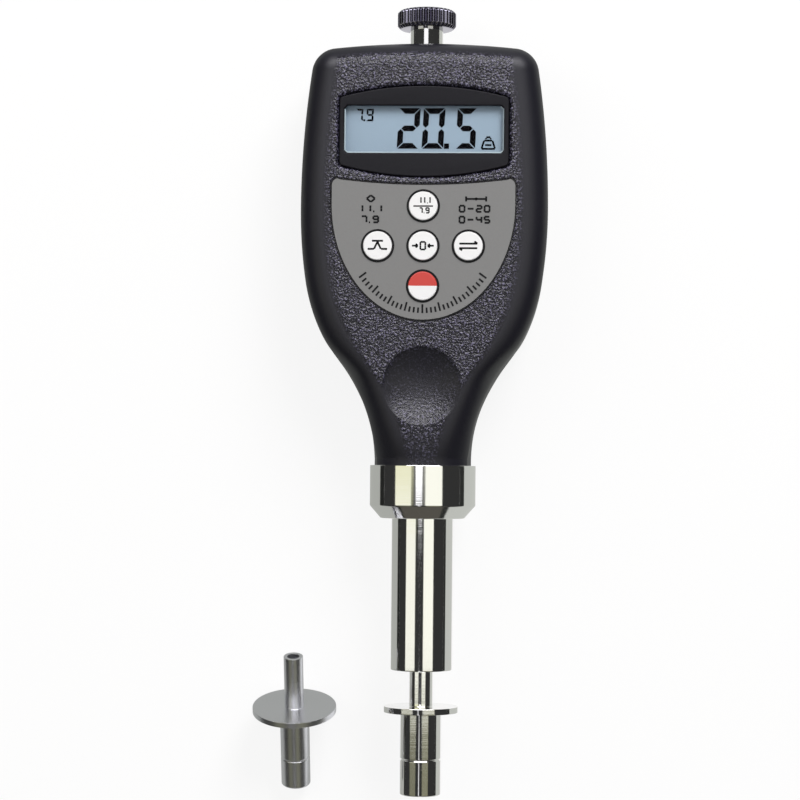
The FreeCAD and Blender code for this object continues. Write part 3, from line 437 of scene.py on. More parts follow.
def half_outline():
    """Right half of the casing's outline from the neck to the crown, and its outward normals.

    It is a chain of tangent arcs: straight neck, hollow waist, straight flank, shoulder, hip, the long
    side, a small corner and the shallow crown. Each arc is called with its heading, its radius, its turn and
    its number of points. The corner's centre lies where circles about the centres of the side and the crown,
    each smaller by the corner's radius, meet."""
    s = bpy.context.scene.tester_casing
    neck, half = s.neck_width / 2 / MM, s.width / 2 / MM
    gain = half - neck
    arcs = WAIST_SHARE * (1 - math.cos(FLANK_TURN)) + HIP_SHARE * (1 - math.cos(HIP_TURN))
    arcs += SHOULDER_SHARE * (math.cos(HIP_TURN) - math.cos(FLANK_TURN))
    flank = gain * (1 - arcs) / math.sin(FLANK_TURN)
    parts = [(np.array([(neck, 0.0), (neck, NECK_STRAIGHT)]), np.array([[1.0, 0.0]] * 2))]

    def carry_on(heading, radius, turn, count):
        parts.append(arc_points(parts[-1][0][-1], heading, radius, turn, count))
        return parts[-1][0][-1]

    low = carry_on(0.0, WAIST_SHARE * gain, FLANK_TURN, 34)
    along = np.array([math.sin(FLANK_TURN), math.cos(FLANK_TURN)]) * flank
    across = np.array([[math.cos(FLANK_TURN), -math.sin(FLANK_TURN)]] * 12)
    parts.append((low + along * np.linspace(0.0, 1.0, 12)[:, None], across))
    carry_on(FLANK_TURN, SHOULDER_SHARE * gain, HIP_TURN - FLANK_TURN, 22)
    widest = carry_on(HIP_TURN, HIP_SHARE * gain, -HIP_TURN, 14)
    side_centre = np.array([half - SIDE_RADIUS, widest[1]])
    crown_centre = np.array([0.0, s.length / MM - CROWN_RADIUS])
    near, far = SIDE_RADIUS - CORNER_RADIUS, CROWN_RADIUS - CORNER_RADIUS
    apart = np.linalg.norm(crown_centre - side_centre)
    reach = (near * near - far * far + apart * apart) / (2 * apart)
    aim = (crown_centre - side_centre) / apart
    off = np.array([-aim[1], aim[0]]) * math.sqrt(near * near - reach * reach)
    corner = side_centre + aim * reach + off
    turn = math.asin((corner - side_centre)[1] / near)
    crown_turn = math.atan2(corner[0], corner[1] - crown_centre[1])
    corner_turn = math.pi / 2 - turn - crown_turn
    carry_on(0.0, SIDE_RADIUS, -turn, 30)
    carry_on(-turn, CORNER_RADIUS, -corner_turn, 22)
    carry_on(-turn - corner_turn, CROWN_RADIUS, -crown_turn, 30)
    points, normals = (np.vstack([parts[0][kind]] + [part[kind][1:] for part in parts[1:]])
                       for kind in (0, 1))
    points[-1, 0] = 0.0
    return points, normals


def casing_half(section, flat_steps=36, under_steps=4):
    """Closed half of the casing: the section (inset, z) is carried along the outline on both sides.

    The point at outline place i and section place j is p_i - n_i inset_j at level z_j. The rows of both sides
    are joined by straight rows across the flat face and across the seam. Near the collar each point is drawn
    in towards a limit, round about the rod, by s = (1 + q^-n)^(-1/n), a soft minimum of 1 and the ratio q.
    The limit spreads along a cone, and above it along a parabola that soon leaves the casing free."""
    tiny = 1e-6
    points, normals = half_outline()
    flat = points[:, None] - normals[:, None] * section[None, :, :1]
    level = np.broadcast_to(section[None, :, 1:], flat.shape[:2] + (1,))
    right = np.concatenate([flat, level], axis=-1)
    right[..., 0] = np.maximum(right[..., 0], 0.0)
    left = right[:, ::-1] * [-1, 1, 1]

    def joined(start, end, steps):
        share = np.linspace(0.0, 1.0, steps + 1)[1:-1][None, :, None]
        return start * (1 - share) + end * share

    loops = np.concatenate([right, joined(right[:, -1:], left[:, :1], flat_steps), left,
                            joined(left[:, -1:], right[:, :1], under_steps)], axis=1)
    x, height, z = np.moveaxis(loops, -1, 0)
    rise = np.maximum(height - NECK_STRAIGHT, 0.0)
    limit = NECK_ROUND + NECK_SLOPE * rise + NECK_SPREAD * np.maximum(height - NECK_RELEASE, 0.0) ** 2
    ratio = limit / np.maximum(np.hypot(x, z - AXIS_Z), tiny)
    shrink = (1.0 + ratio ** -NECK_BLEND) ** (-1.0 / NECK_BLEND)
    loops = np.stack([x * shrink, height, AXIS_Z + (z - AXIS_Z) * shrink], axis=-1)
    return grid_mesh(loops, wrap_columns=True, caps=1)


def front_section():
    """Section of the front half: a small step at the seam, the side, and a quarter circle over the edge."""
    s = bpy.context.scene.tester_casing
    turn = np.linspace(0.0, math.pi / 2, 16)
    r, depth = s.edge_radius / MM, s.depth / MM
    arc = np.stack([r - r * np.cos(turn), depth - r + r * np.sin(turn)], axis=1)
    return np.vstack([SEAM_STEP + [0, SEAM_Z], [(0.0, SEAM_Z + 3.0)], arc])


def rear_section():
    """Section of the rear half: a small step at the seam, the side, and a bevel with softened corners."""
    b = bpy.context.scene.tester_casing.rear_edge / MM
    step = SEAM_STEP * [1, -1] + [0, SEAM_Z]
    return np.vstack([step, rounded([step[-1], (0.0, b), (b, 0.0), (b + 3.0, 0.0)], 1.1, 7)[1:]])


def barrel_outline(half, side, corner, steps=40):
    """Closed outline, straight at the sides; the upper and lower edges are arcs y = side + bulge - R +
    sqrt(R^2 - x^2) with R = (half^2 + bulge^2) / (2 bulge), and the corners are drawn round."""
    radius = (half * half + RECESS_BULGE ** 2) / (2 * RECESS_BULGE)
    x = np.linspace(half - corner, corner - half, steps)
    top = np.stack([x, side + RECESS_BULGE - radius + np.sqrt(radius * radius - x * x)], axis=1)
    ends = np.array([(half, side - corner), (half, side), top[0]])
    bend = rounded(ends, corner * 2, 9)[2:-2]
    top = np.vstack([ends[:1], bend, top, (bend * [-1, 1])[::-1], ends[:1] * [-1, 1]])
    return np.vstack([top, -top]) + [0.0, RECESS_CENTRE]


def box_outline(half, low, high, corner, shift=0.0, steps=8):
    """Rectangle from the low to the high height, with its corners drawn round, or cut where steps is 2."""
    quarter = np.arange(4)[:, None] * math.pi / 2
    angle = quarter + np.linspace(0.0, math.pi / 2, steps)
    x = (half - corner) * np.array([[1], [-1], [-1], [1]]) + corner * np.cos(angle)
    y = np.array([[high - corner]] * 2 + [[low + corner]] * 2) + corner * np.sin(angle)
    return np.stack([x.ravel() + shift, y.ravel()], axis=1)


def window_outline(half, tall, corner):
    """Rectangle about the window's centre, with its corners cut."""
    return box_outline(half, WINDOW_CENTRE - tall, WINDOW_CENTRE + tall, corner, steps=2)


# Keypad plate: half width, drop of the bowl below its widest height, top, sag of the top and corner

PLATE_HALF, PLATE_DROP, PLATE_WIDEST, PLATE_TOP, PLATE_SAG, PLATE_CORNER = 24.9, 31.2, 69.0, 76.4, 1.7, 2.4


def shield_outline(margin):
    """Keypad plate: a half ellipse below, short sides, round upper corners and a sagging upper edge."""
    half, top, corner = PLATE_HALF + margin, PLATE_TOP + margin, PLATE_CORNER + margin
    around = np.linspace(0.0, -math.pi, 72)
    bowl = np.stack([half * np.cos(around), PLATE_WIDEST + (PLATE_DROP + margin) * np.sin(around)], axis=1)
    turn = np.linspace(math.pi, math.pi / 2, 10)
    left = np.stack([-half + corner + corner * np.cos(turn), top - corner + corner * np.sin(turn)], axis=1)
    reach = half - corner * 1.2
    x = np.linspace(-reach, reach, 40)
    edge = np.stack([x, top - PLATE_SAG * (1 - (x / half) ** 2)], axis=1)
    return np.vstack([bowl, left[:-1], edge, (left[::-1] * [-1, 1])[1:]])


def mark_grain(mesh):
    """Stores the grain's mask on the points: 1 on the face, fading out towards the smooth rim.

    The rim is measured across from the outline at each height, and down from the crown. The grain is finer
    towards the collar. In the thumb dish it gives way to the smooth rim's colour, most in the upper part:
    painted shade, darker and with fewer specks than the lower part."""
    crown_start, crown_rim, face_start = 104.0, 2.4, 24.5
    points, _ = half_outline()
    place = np.empty(len(mesh.vertices) * 3, np.float32)
    mesh.vertices.foreach_get("co", place)
    x, height, z = from_frame(place.reshape(-1, 3)).T

    def fade(value, start, width):
        return np.clip((value - start) / width, 0, 1)

    shoulder = int(np.argmax(points[:, 1] > crown_start))
    over = points[shoulder:][::-1]
    side = np.interp(height, points[:shoulder, 1], points[:shoulder, 0]) - np.abs(x)
    crown = np.interp(np.abs(x), over[:, 0], over[:, 1]) - height
    rim = 6.8 + 1.8 * np.exp(-height / 12.0)
    mask = fade(side, rim, 1.5) * fade(crown, crown_rim, 1.4) * fade(z, face_start, 1.0)
    mask = mask * mask * (3 - 2 * mask)
    mask *= np.clip((height + 2.0) / 14.0, 0.25, 1)
    # Painted shade: the upper part of the thumb dish keeps little of the grain, so it is darker and has fewer
    # bright specks than its lower part.
    grain_left_by_painted_shade = 0.12 + 0.75 * np.clip((DISH_CENTRE - height) / (DISH_RADIUS * 0.9) + 0.1, 0, 1)
    mask *= grain_left_by_painted_shade + (1 - grain_left_by_painted_shade) * fade(np.hypot(x, height - DISH_CENTRE) / DISH_RADIUS, 0.97, 0.06)
    layer = mesh.attributes.new("grain", "FLOAT", "POINT")
    layer.data.foreach_set("value", mask.astype(np.float32))


def stem_cutter():
    """Passage of the thumb screw's stem through the crown."""
    return bar_mesh(4.65, 95.0, 125.0)


def front_cutters():
    """Volumes that the front half loses: display recess, keypad recess, key holes, thumb dish and passage."""
    front = bpy.context.scene.tester_casing.depth / MM
    cutters = [prism_mesh(barrel_outline(22.6, 9.1, 2.4), front - 3.4, front, flare=1.1),
               prism_mesh(shield_outline(0.0), front - 0.5, front + 1.0)]
    seat, ledge, above = (5.4, -8.0), -2.35, 2.0
    hole = [(0, seat[1]), seat, (seat[0], ledge), (KEY_HOLE, ledge), (KEY_HOLE, above), (0, above)]
    for x, y in KEY_PLACES.values():
        cutters.append(turned_mesh(hole, segments=96, shift=(x, y, front), turn=UPRIGHT))
    ball = (DISH_RADIUS ** 2 + DISH_DEPTH ** 2) / (2 * DISH_DEPTH)
    turn = np.linspace(0.0, math.pi, 90)
    dish = np.stack([ball * np.sin(turn), -ball * np.cos(turn)], axis=1)
    cutters.append(turned_mesh(dish, shift=(0.0, DISH_CENTRE, front - DISH_DEPTH + ball)))
    return cutters + [stem_cutter()]


def rear_cutters():
    """Volumes that the rear half loses: cover recess, battery bay, slots of the cover's latch and tabs, screw
    wells, finger notch and passage."""
    wall = 1.5
    cutters = [prism_mesh(box_outline(*sizes), low, high) for sizes, low, high in (
        ((24.55, 44.85, 98.75, 1.4), -1.0, 2.2), ((23.2, 48.0, 95.6, 0.3), wall, 13.3),
        ((5.2, 45.4, 46.8, 0.2), wall, 5.9), ((3.8, 93.0, 100.6, 0.2, 9.0), wall, 5.2),
        ((3.8, 93.0, 100.6, 0.2, -9.0), wall, 5.2))]
    cutters += [bar_mesh(2.65, -1.0, 2.6, (x, y, 0.0), UPRIGHT) for x, y in SCREW_PLACES]
    return cutters + [bar_mesh(5.0, -5.0, 5.0, (0.0, 44.85, -3.9), SIDEWAYS), stem_cutter()]


# Materials

# Depth of fine bumps, in metres
FINE = 0.00005


def feed(tree, socket, value):
    """Gives an input its value: a number, a colour, or a link from an output or from a node's first one."""
    if isinstance(value, bpy.types.Node):
        value = next(output for output in value.outputs if output.enabled)
    if isinstance(value, bpy.types.NodeSocket):
        tree.links.new(value, socket)
    else:
        socket.default_value = value


def node_of(tree, kind, *inputs, **values):
    """A new node. The plain inputs feed its sockets in order, and a named value is a socket or a setting."""
    node = tree.nodes.new("ShaderNode" + kind)
    node.location = (200 * len(tree.nodes), 0)
    for key, value in values.items():
        name = key.replace("_", " ")
        if name in node.inputs:
            feed(tree, node.inputs[name], value)
        else:
            setattr(node, key, value)
    for socket, value in zip(node.inputs, inputs):
        feed(tree, socket, value)
    return node


def solid(colour):
    """An opaque colour with its fourth value."""
    return (*colour, 1.0)


def plain_material(name, colour, roughness, metallic=0.0, **extra):
    """A Principled material with even values on its own sockets."""
    finish = bpy.data.materials.new(name)
    finish.use_nodes = True
    shader = finish.node_tree.nodes["Principled BSDF"]
    values = {"Base Color": solid(colour), "Roughness": roughness, "Metallic": metallic, **extra}
    for key, value in values.items():
        shader.inputs[key.replace("_", " ")].default_value = value
    return finish


def new_group(name, **inputs):
    """A node group with its named inputs, the sockets inside that carry them, and the piece's coordinates."""
    group = bpy.data.node_groups.new(name, "ShaderNodeTree")
    for key, value in inputs.items():
        kind = "NodeSocketColor" if isinstance(value, tuple) else "NodeSocketFloat"
        group.interface.new_socket(key, in_out="INPUT", socket_type=kind).default_value = value
    place = node_of(group, "TexCoord").outputs["Object"]
    return group, group.nodes.new("NodeGroupInput").outputs, place


def close_group(group, **outputs):
    """Gives the group its outputs and feeds them."""
    for key in outputs:
        kind = "NodeSocketColor" if key == "Color" else "NodeSocketFloat"
        group.interface.new_socket(key, in_out="OUTPUT", socket_type=kind)
    leave = group.nodes.new("NodeGroupOutput")
    leave.location = (200 * len(group.nodes), 0)
    for key, value in outputs.items():
        feed(group, leave.inputs[key], value)
    return group


BLACK = (0.0, 0.0, 0.0, 1.0)


def moulded_grain(name):
    """Moulded grain: small bumps with bright tops, as a colour, a height and a roughness. The bright tops are
    partly the grain's own specks and partly painted glints.
    """
    group, enter, place = new_group(name, Mask=1.0, Size=1850.0, Base=BLACK, Speck=BLACK, Smooth=BLACK)
    bumps = node_of(group, "TexNoise", Vector=place, Scale=enter["Size"], Detail=1.5, Roughness=0.6)
    # The bumps' tops get the bright speck colour: the grain's own specks together with painted glints.
    speck_and_glint_tops = node_of(group, "MapRange", Value=bumps, From_Min=0.52, From_Max=0.74)
    grained = node_of(group, "Mix", data_type="RGBA", Factor=speck_and_glint_tops, A=enter["Base"], B=enter["Speck"])
    whole = node_of(group, "Mix", data_type="RGBA", Factor=enter["Mask"], A=enter["Smooth"], B=grained)
    height = node_of(group, "Math", bumps, enter["Mask"], operation="MULTIPLY")
    rough = node_of(group, "MapRange", Value=enter["Mask"], To_Min=0.45, To_Max=0.22)
    return close_group(group, Color=whole, Height=height, Roughness=rough)


def moulded_surface(name):
    """Fine moulded surface: a soft mottle of the colour, with its height and its roughness."""
    group, enter, place = new_group(name, Size=1800.0, Dark=BLACK, Light=BLACK, Low=0.35, High=0.5)
    mottle = node_of(group, "TexNoise", Vector=place, Scale=enter["Size"], Detail=3.0)
    colour = node_of(group, "Mix", data_type="RGBA", Factor=mottle, A=enter["Dark"], B=enter["Light"])
    rough = node_of(group, "MapRange", Value=mottle, To_Min=enter["Low"], To_Max=enter["High"])
    return close_group(group, Color=colour, Height=mottle, Roughness=rough)


def turning_lines(name):
    """Fine rings left by turning: noise that changes only along the piece, as a height and a roughness."""
    group, enter, place = new_group(name, Turn=0.0, Fineness=5000.0, Low=0.06, High=0.14)
    turned = node_of(group, "VectorRotate", rotation_type="X_AXIS", Vector=place, Angle=enter["Turn"])
    along = node_of(group, "SeparateXYZ", Vector=turned).outputs["Y"]
    lines = node_of(group, "TexNoise", noise_dimensions="1D", W=along, Scale=enter["Fineness"], Detail=3.0)
    rough = node_of(group, "MapRange", Value=lines, To_Min=enter["Low"], To_Max=enter["High"])
    return close_group(group, Height=lines, Roughness=rough)


def textured(finish, build, strength, distance, **values):
    """The material with bumps, roughness and colour from a group that is built once."""
    tree = finish.node_tree
    shader = tree.nodes["Principled BSDF"]
    group = bpy.data.node_groups.get(build.__name__) or build(build.__name__)
    effect = node_of(tree, "Group", node_tree=group, **values)
    bump = node_of(tree, "Bump", Strength=strength, Distance=distance, Height=effect.outputs["Height"])
    feed(tree, shader.inputs["Normal"], bump)
    feed(tree, shader.inputs["Roughness"], effect.outputs["Roughness"])
    if "Color" in effect.outputs:
        feed(tree, shader.inputs["Base Color"], effect.outputs["Color"])
    return finish


def grained_material(name, share=None):
    """Casing plastic: grained where the mesh's own mask says so, or all over by the share."""
    s = bpy.context.scene.tester_casing
    finish = plain_material(name, s.grain_colour, 0.3, Specular_IOR_Level=0.5)
    mask = share or node_of(finish.node_tree, "Attribute", attribute_name="grain").outputs["Fac"]
    return textured(finish, moulded_grain, 1.0, 0.00034, Mask=mask, Base=solid(s.grain_colour),
                    Speck=solid(s.speck_and_glint_colour), Smooth=solid(s.smooth_colour))


def moulded_material(name, colour, roughness, spread=0.12, strength=0.12, size=1800.0, level=0.35):
    """Plain moulded or printed surface with a fine mottle about its colour and roughness."""
    shade, swing = np.array(colour), 0.15
    finish = plain_material(name, colour, roughness, Specular_IOR_Level=level)
    return textured(finish, moulded_surface, strength, FINE, Size=size,
                    Low=roughness * (1 - swing), High=roughness * (1 + swing),
                    Dark=solid(shade * (1 - spread)), Light=solid(shade * (1 + spread)))


def turned_material(name, colour, low, high, strength, turn=0.0, fineness=5000.0):
    """Turned metal with fine rings."""
    finish = plain_material(name, colour, (low + high) / 2, 1.0)
    return textured(finish, turning_lines, strength, FINE, Turn=turn, Fineness=fineness, Low=low, High=high)


def halves_material(name, centre, upper, lower):
    """Key plastic in two colours: the upper one above the key's middle line."""
    finish = plain_material(name, lower, 0.42)
    tree = finish.node_tree
    place = node_of(tree, "TexCoord").outputs["Object"]
    height = node_of(tree, "SeparateXYZ", Vector=place).outputs["Y"]
    above = node_of(tree, "Math", height, centre, operation="GREATER_THAN")
    colours = node_of(tree, "Mix", data_type="RGBA", Factor=above, A=solid(lower), B=solid(upper))
    feed(tree, tree.nodes["Principled BSDF"].inputs["Base Color"], colours)
    return finish


# Operators

# Levels above the rear face: bezel top, window's lower and upper face, crystal's lower and upper face
BEZEL_TOP, WINDOW_LOW, WINDOW_TOP, CRYSTAL_LOW, CRYSTAL_TOP = 27.7, 26.4, 26.75, 22.6, 25.6
# Thickness of what is printed on the display and the keypad
INK_DISPLAY, INK_KEYPAD = 0.04, 0.03


class TESTER_OT_casing(bpy.types.Operator):
    """Front and rear halves of the casing, its cover's finish and its screws"""

    bl_idname = "tester.casing"
    bl_label = "Casing"

    def execute(self, context):
        front = cut(casing_half(front_section()), front_cutters())
        mark_grain(front)
        add_object("casing_front", front, grained_material("casing_grain"), "casing_plastic", "front_shell")
        rear = cut(casing_half(rear_section()), rear_cutters())
        smooth = moulded_material("casing_back", context.scene.tester_casing.smooth_colour, 0.34, 0.3, 0.3)
        add_object("casing_rear", rear, smooth, "casing_plastic", "rear_shell")
        repaint(grained_material("cover_grain", 0.3), "battery_cover")
        steel = turned_material("screw_zinc", (0.55, 0.55, 0.53), 0.25, 0.4, 0.2)
        for number, (x, y) in enumerate(SCREW_PLACES):
            head = bar_mesh(2.5, 1.0, 2.6, (x, y, 0.0), UPRIGHT, 48)
            slot = prism_mesh(np.array([(3, 0.35), (-3, 0.35), (-3, -0.35), (3, -0.35)]) + [x, y], 0.0, 1.8)
            head = cut(head, [slot], 30.0)
            add_object("screw_head_%d" % (number + 1), head, steel, "screw_steel", "case_screws")
        return {"FINISHED"}


class TESTER_OT_display(bpy.types.Operator):
    """Bezel, clear window, liquid crystal and its dark segments"""

    bl_idname = "tester.display"
    bl_label = "Display"

    def execute(self, context):
        s = context.scene.tester_display
        dark = moulded_material("bezel_plastic", (0.0075, 0.0072, 0.0105), 0.42, 0.3, 0.3, level=0.18)
        opening = prism_mesh(window_outline(21.15, 6.3, 0.8), 20.0, BEZEL_TOP, flare=0.35)
        bezel = prism_mesh(barrel_outline(22.48, 8.98, 2.3), 26.8, BEZEL_TOP, bevel=0.3)
        add_object("bezel", cut(bezel, [opening], 32.0), dark, "frame_plastic", "display_frame")
        clear = plain_material("window_clear", (0.004, 0.004, 0.004), 0.06, Alpha=0.06)
        window = prism_mesh(window_outline(22.0, 7.2, 0.8), WINDOW_LOW, WINDOW_TOP)
        add_object("window", window, clear, "clear_window", "display_window")
        crystal = moulded_material("crystal", s.crystal_colour, 0.45, 0.03, 0.05, 900.0)
        sheet = prism_mesh(window_outline(22.4, 7.8, 0.1), CRYSTAL_LOW, CRYSTAL_TOP)
        add_object("crystal", sheet, crystal, "display_crystal", "display_glass")
        ink = moulded_material("crystal_segments", s.ink_colour, 0.6, 0.2, 0.05, level=0.0)
        levels = (CRYSTAL_TOP, CRYSTAL_TOP + INK_DISPLAY)

        def digits(foot, tall, stroke, pitch, gap, *texts):
            """Plates of digits, for each text with its left end and the width of a digit."""
            return plates_mesh(np.concatenate([
                crystal_digits(text, left, foot, width, tall, stroke, pitch, gap, s.slant)
                for text, left, width in texts]), *levels)

        marks = {
            "display_digits": digits(84.0, 10.8, 1.5, 6.6, 0.17, ("20", -7.3, 5.75), ("5", 8.3, 5.2)),
            "display_stop": strokes_mesh([(5.25, 84.7, 6.6, 84.7)], 1.4, *levels, 0.0),
            "display_small_digits": digits(91.3, 3.3, 0.5, 0.0, 0.04, ("7", -18.3, 1.9), ("9", -15.5, 1.9)),
            "display_small_stop": strokes_mesh([(-16.25, 91.55, -15.75, 91.55)], 0.5, *levels, 0.0),
        }
        for name, mesh in marks.items():
            add_object(name, mesh, ink, "display_crystal")
        # Pale band on the window along the opening's lower and side edges, none along the upper one: a
        # painted highlight where the rim catches the light.
        corners = [(-21.0, 94.4), (-21.0, 83.4), (-20.2, 82.85), (20.2, 82.85), (21.0, 83.4), (21.0, 94.4),
                   (20.2, 95.05)]
        edge = strokes_mesh([start + end for start, end in zip(corners, corners[1:])], 0.34, WINDOW_TOP, 26.8)
        pale = moulded_material("window_rim_painted_highlight", (0.5, 0.62, 0.68), 0.3, 0.03, 0.05)
        add_object("window_rim_painted_highlight", edge, pale, "clear_window")
        weight = [(15.2, 84.0, 18.8, 84.0), (15.2, 84.0, 15.9, 86.2), (18.8, 84.0, 18.1, 86.2),
                  (15.9, 86.2, 18.1, 86.2), (16.4, 86.5, 16.4, 87.0), (17.6, 86.5, 17.6, 87.0),
                  (16.4, 87.1, 17.6, 87.1), (16.1, 85.0, 17.9, 85.0)]
        sign = strokes_mesh(weight, 0.5, *levels, 0.3)
        add_object("display_weight_sign", sign, ink, "display_crystal")
        return {"FINISHED"}


class TESTER_OT_keypad(bpy.types.Operator):
    """Keypad plate with its marks, and the five keys with their signs"""

    bl_idname = "tester.keypad"
    bl_label = "Keypad"

    def execute(self, context):
        s = context.scene.tester_keypad
        front = context.scene.tester_casing.depth / MM
        low, level = front - 0.5, front - 0.1
        grey = moulded_material("plate_grey", s.plate_colour, 0.5, 0.05, 0.12)
        plate = prism_mesh(shield_outline(-0.3), low, level, bevel=0.06)
        holes = [bar_mesh(KEY_HOLE, low - 1.0, level + 1.0, (x, y, 0.0), UPRIGHT)
                 for x, y in KEY_PLACES.values()]
        add_object("keypad_face", cut(plate, holes), grey, "plate_grey", "keypad_plate")
        ink = moulded_material("print_black", (0.004, 0.004, 0.005), 0.5, 0.2, 0.05, level=0.2)
        marks = {
            "plate_numbers": strokes_mesh(self.numbers(), 0.52, level, level + INK_KEYPAD),
            "plate_scale": strokes_mesh(self.scale(), 0.5, level, level + INK_KEYPAD),
            "plate_line": band_mesh(shield_outline(-0.32), shield_outline(-0.62), level, level + INK_KEYPAD),
        }
        # Black band round each key: painted shade over the gap between the cap and its hole, and a thin
        # printed ring on the plate beside it.
        for name, (x, y) in KEY_PLACES.items():
            ring = (circle_outline(radius, x, y) for radius in (4.42, 3.9))
            marks["ring_" + name] = band_mesh(*ring, level, level + 0.05)
        for name, mesh in marks.items():
            add_object(name, mesh, ink, "plate_grey")
        white = moulded_material("key_white", s.key_colour, 0.45, 0.02, 0.1)
        middle = (KEY_PLACES["power"][1] - ORIGIN) * MM
        red = halves_material("key_red_white", middle, s.power_colour, s.key_colour)
        # Pin, flange and cap of a key, from the front face
        radius, top = s.key_radius / MM, 0.57
        profile = rounded([(0, -6.2), (2, -6.2), (2, -3.5), (5, -3.5), (5, -2.5), (radius, -2.5),
                           (radius, top), (0, top)], 0.3, 6)
        signs = self.signs()
        for name, (x, y) in KEY_PLACES.items():
            body = name + "_key"
            cap = turned_mesh(profile, segments=96, shift=(x, y, front), turn=UPRIGHT)
            finish, slot = (red, "key_red_white") if name == "power" else (white, "key_white")
            add_object("cap_" + name, cap, finish, slot, "key_" + name, body)
            if name in signs:
                strokes, width = signs[name]
                strokes = np.array(strokes) + [x, y, x, y]
                sign = strokes_mesh(strokes, width, front + top, front + top + INK_KEYPAD, 0.12)
                add_object("sign_" + name, sign, ink, slot, body=body)
        return {"FINISHED"}

    def signs(self):
        """Strokes of the signs on the keys and their width, from each key's middle: both tip sizes over and
        under a line, a peak, a nought between two arrows, and two opposite arrows."""
        sizes = printed_digits(("11", -1.15, 0.75), ("1", 1.25, 0.75), size=(0.55, 1.5, 1.0))
        sizes += printed_digits(("7", -0.95, -1.9), size=(0.7, 1.3, 1.0))
        sizes += printed_digits(("9", 0.75, -1.9), size=(0.8, 1.3, 1.0))
        sizes += [(1.05, 0.75, 1.25, 0.75), (-2.6, -0.1, 2.6, -0.1), (0.15, -1.9, 0.35, -1.9)]
        peak = [(-2.6, -0.9, -0.9, -0.9), (-0.9, -0.9, 0, 1.0), (0, 1.0, 0.9, -0.9), (0.9, -0.9, 2.6, -0.9),
                (-1.5, 1.25, 1.5, 1.25)]
        nought = printed_digits(("0", -0.65, -1.0), size=(1.3, 2.0, 2.0))
        nought += [(side * x, y, side * 1.3, 0)
                   for side in (-1, 1) for x, y in ((2.9, 0), (1.9, 0.5), (1.9, -0.5))]
        change = [(side * x, side * y, side * 2.4, side * 0.6)
                  for side in (1, -1) for x, y in ((-2.4, 0.6), (1.6, 1.2))]
        return {"tip_size": (sizes, 0.36), "maximum": (peak, 0.5), "zero": (nought, 0.46),
                "unit": (change, 0.5)}

    def numbers(self):
        """Plain numbers beside the keypad: both tip sizes under a diamond, and two ranges under a bar."""
        strokes = printed_digits(
            ("11", -17.4, 67.0), ("1", -12.4, 67.0), ("7", -16.3, 64.1), ("9", -13.2, 64.1), ("0", 9.6, 67.0),
            ("20", 14.1, 67.0), ("0", 9.6, 64.1), ("45", 14.1, 64.1), size=(1.3, 1.6, 2.1))
        stops_and_dashes = [(-13.3, 67.0, -12.9, 67.0), (-14.4, 64.1, -14.0, 64.1), (11.7, 67.8, 13.3, 67.8),
                            (11.7, 64.9, 13.3, 64.9)]
        diamond = [(-15.0, 70.4, -13.9, 71.3), (-13.9, 71.3, -12.8, 70.4), (-12.8, 70.4, -13.9, 69.5),
                   (-13.9, 69.5, -15.0, 70.4)]
        bar = [(11.3, 70.4, 16.6, 70.4), (11.3, 69.7, 11.3, 71.1), (16.6, 69.7, 16.6, 71.1),
               (13.95, 70.0, 13.95, 70.8)]
        return strokes + stops_and_dashes + diamond + bar

    def scale(self):
        """Curved scale along the plate's lower edge: ticks square to its ellipse, every fourth one long."""
        count, inset, outer = 33, 3.3, 1.3
        around = np.radians(np.linspace(-137, -43, count))
        x, y = np.cos(around), np.sin(around)
        inner = np.stack([(PLATE_HALF - inset) * x, PLATE_WIDEST + (PLATE_DROP - 3.6) * y], axis=1)
        outward = directions(np.stack([x / PLATE_HALF, y / PLATE_DROP], axis=1))
        long = np.where(np.arange(count) % 4 == 0, 2.4, 1.5)[:, None]
        return np.concatenate([inner + outward * (outer - long), inner + outward * outer], axis=1)


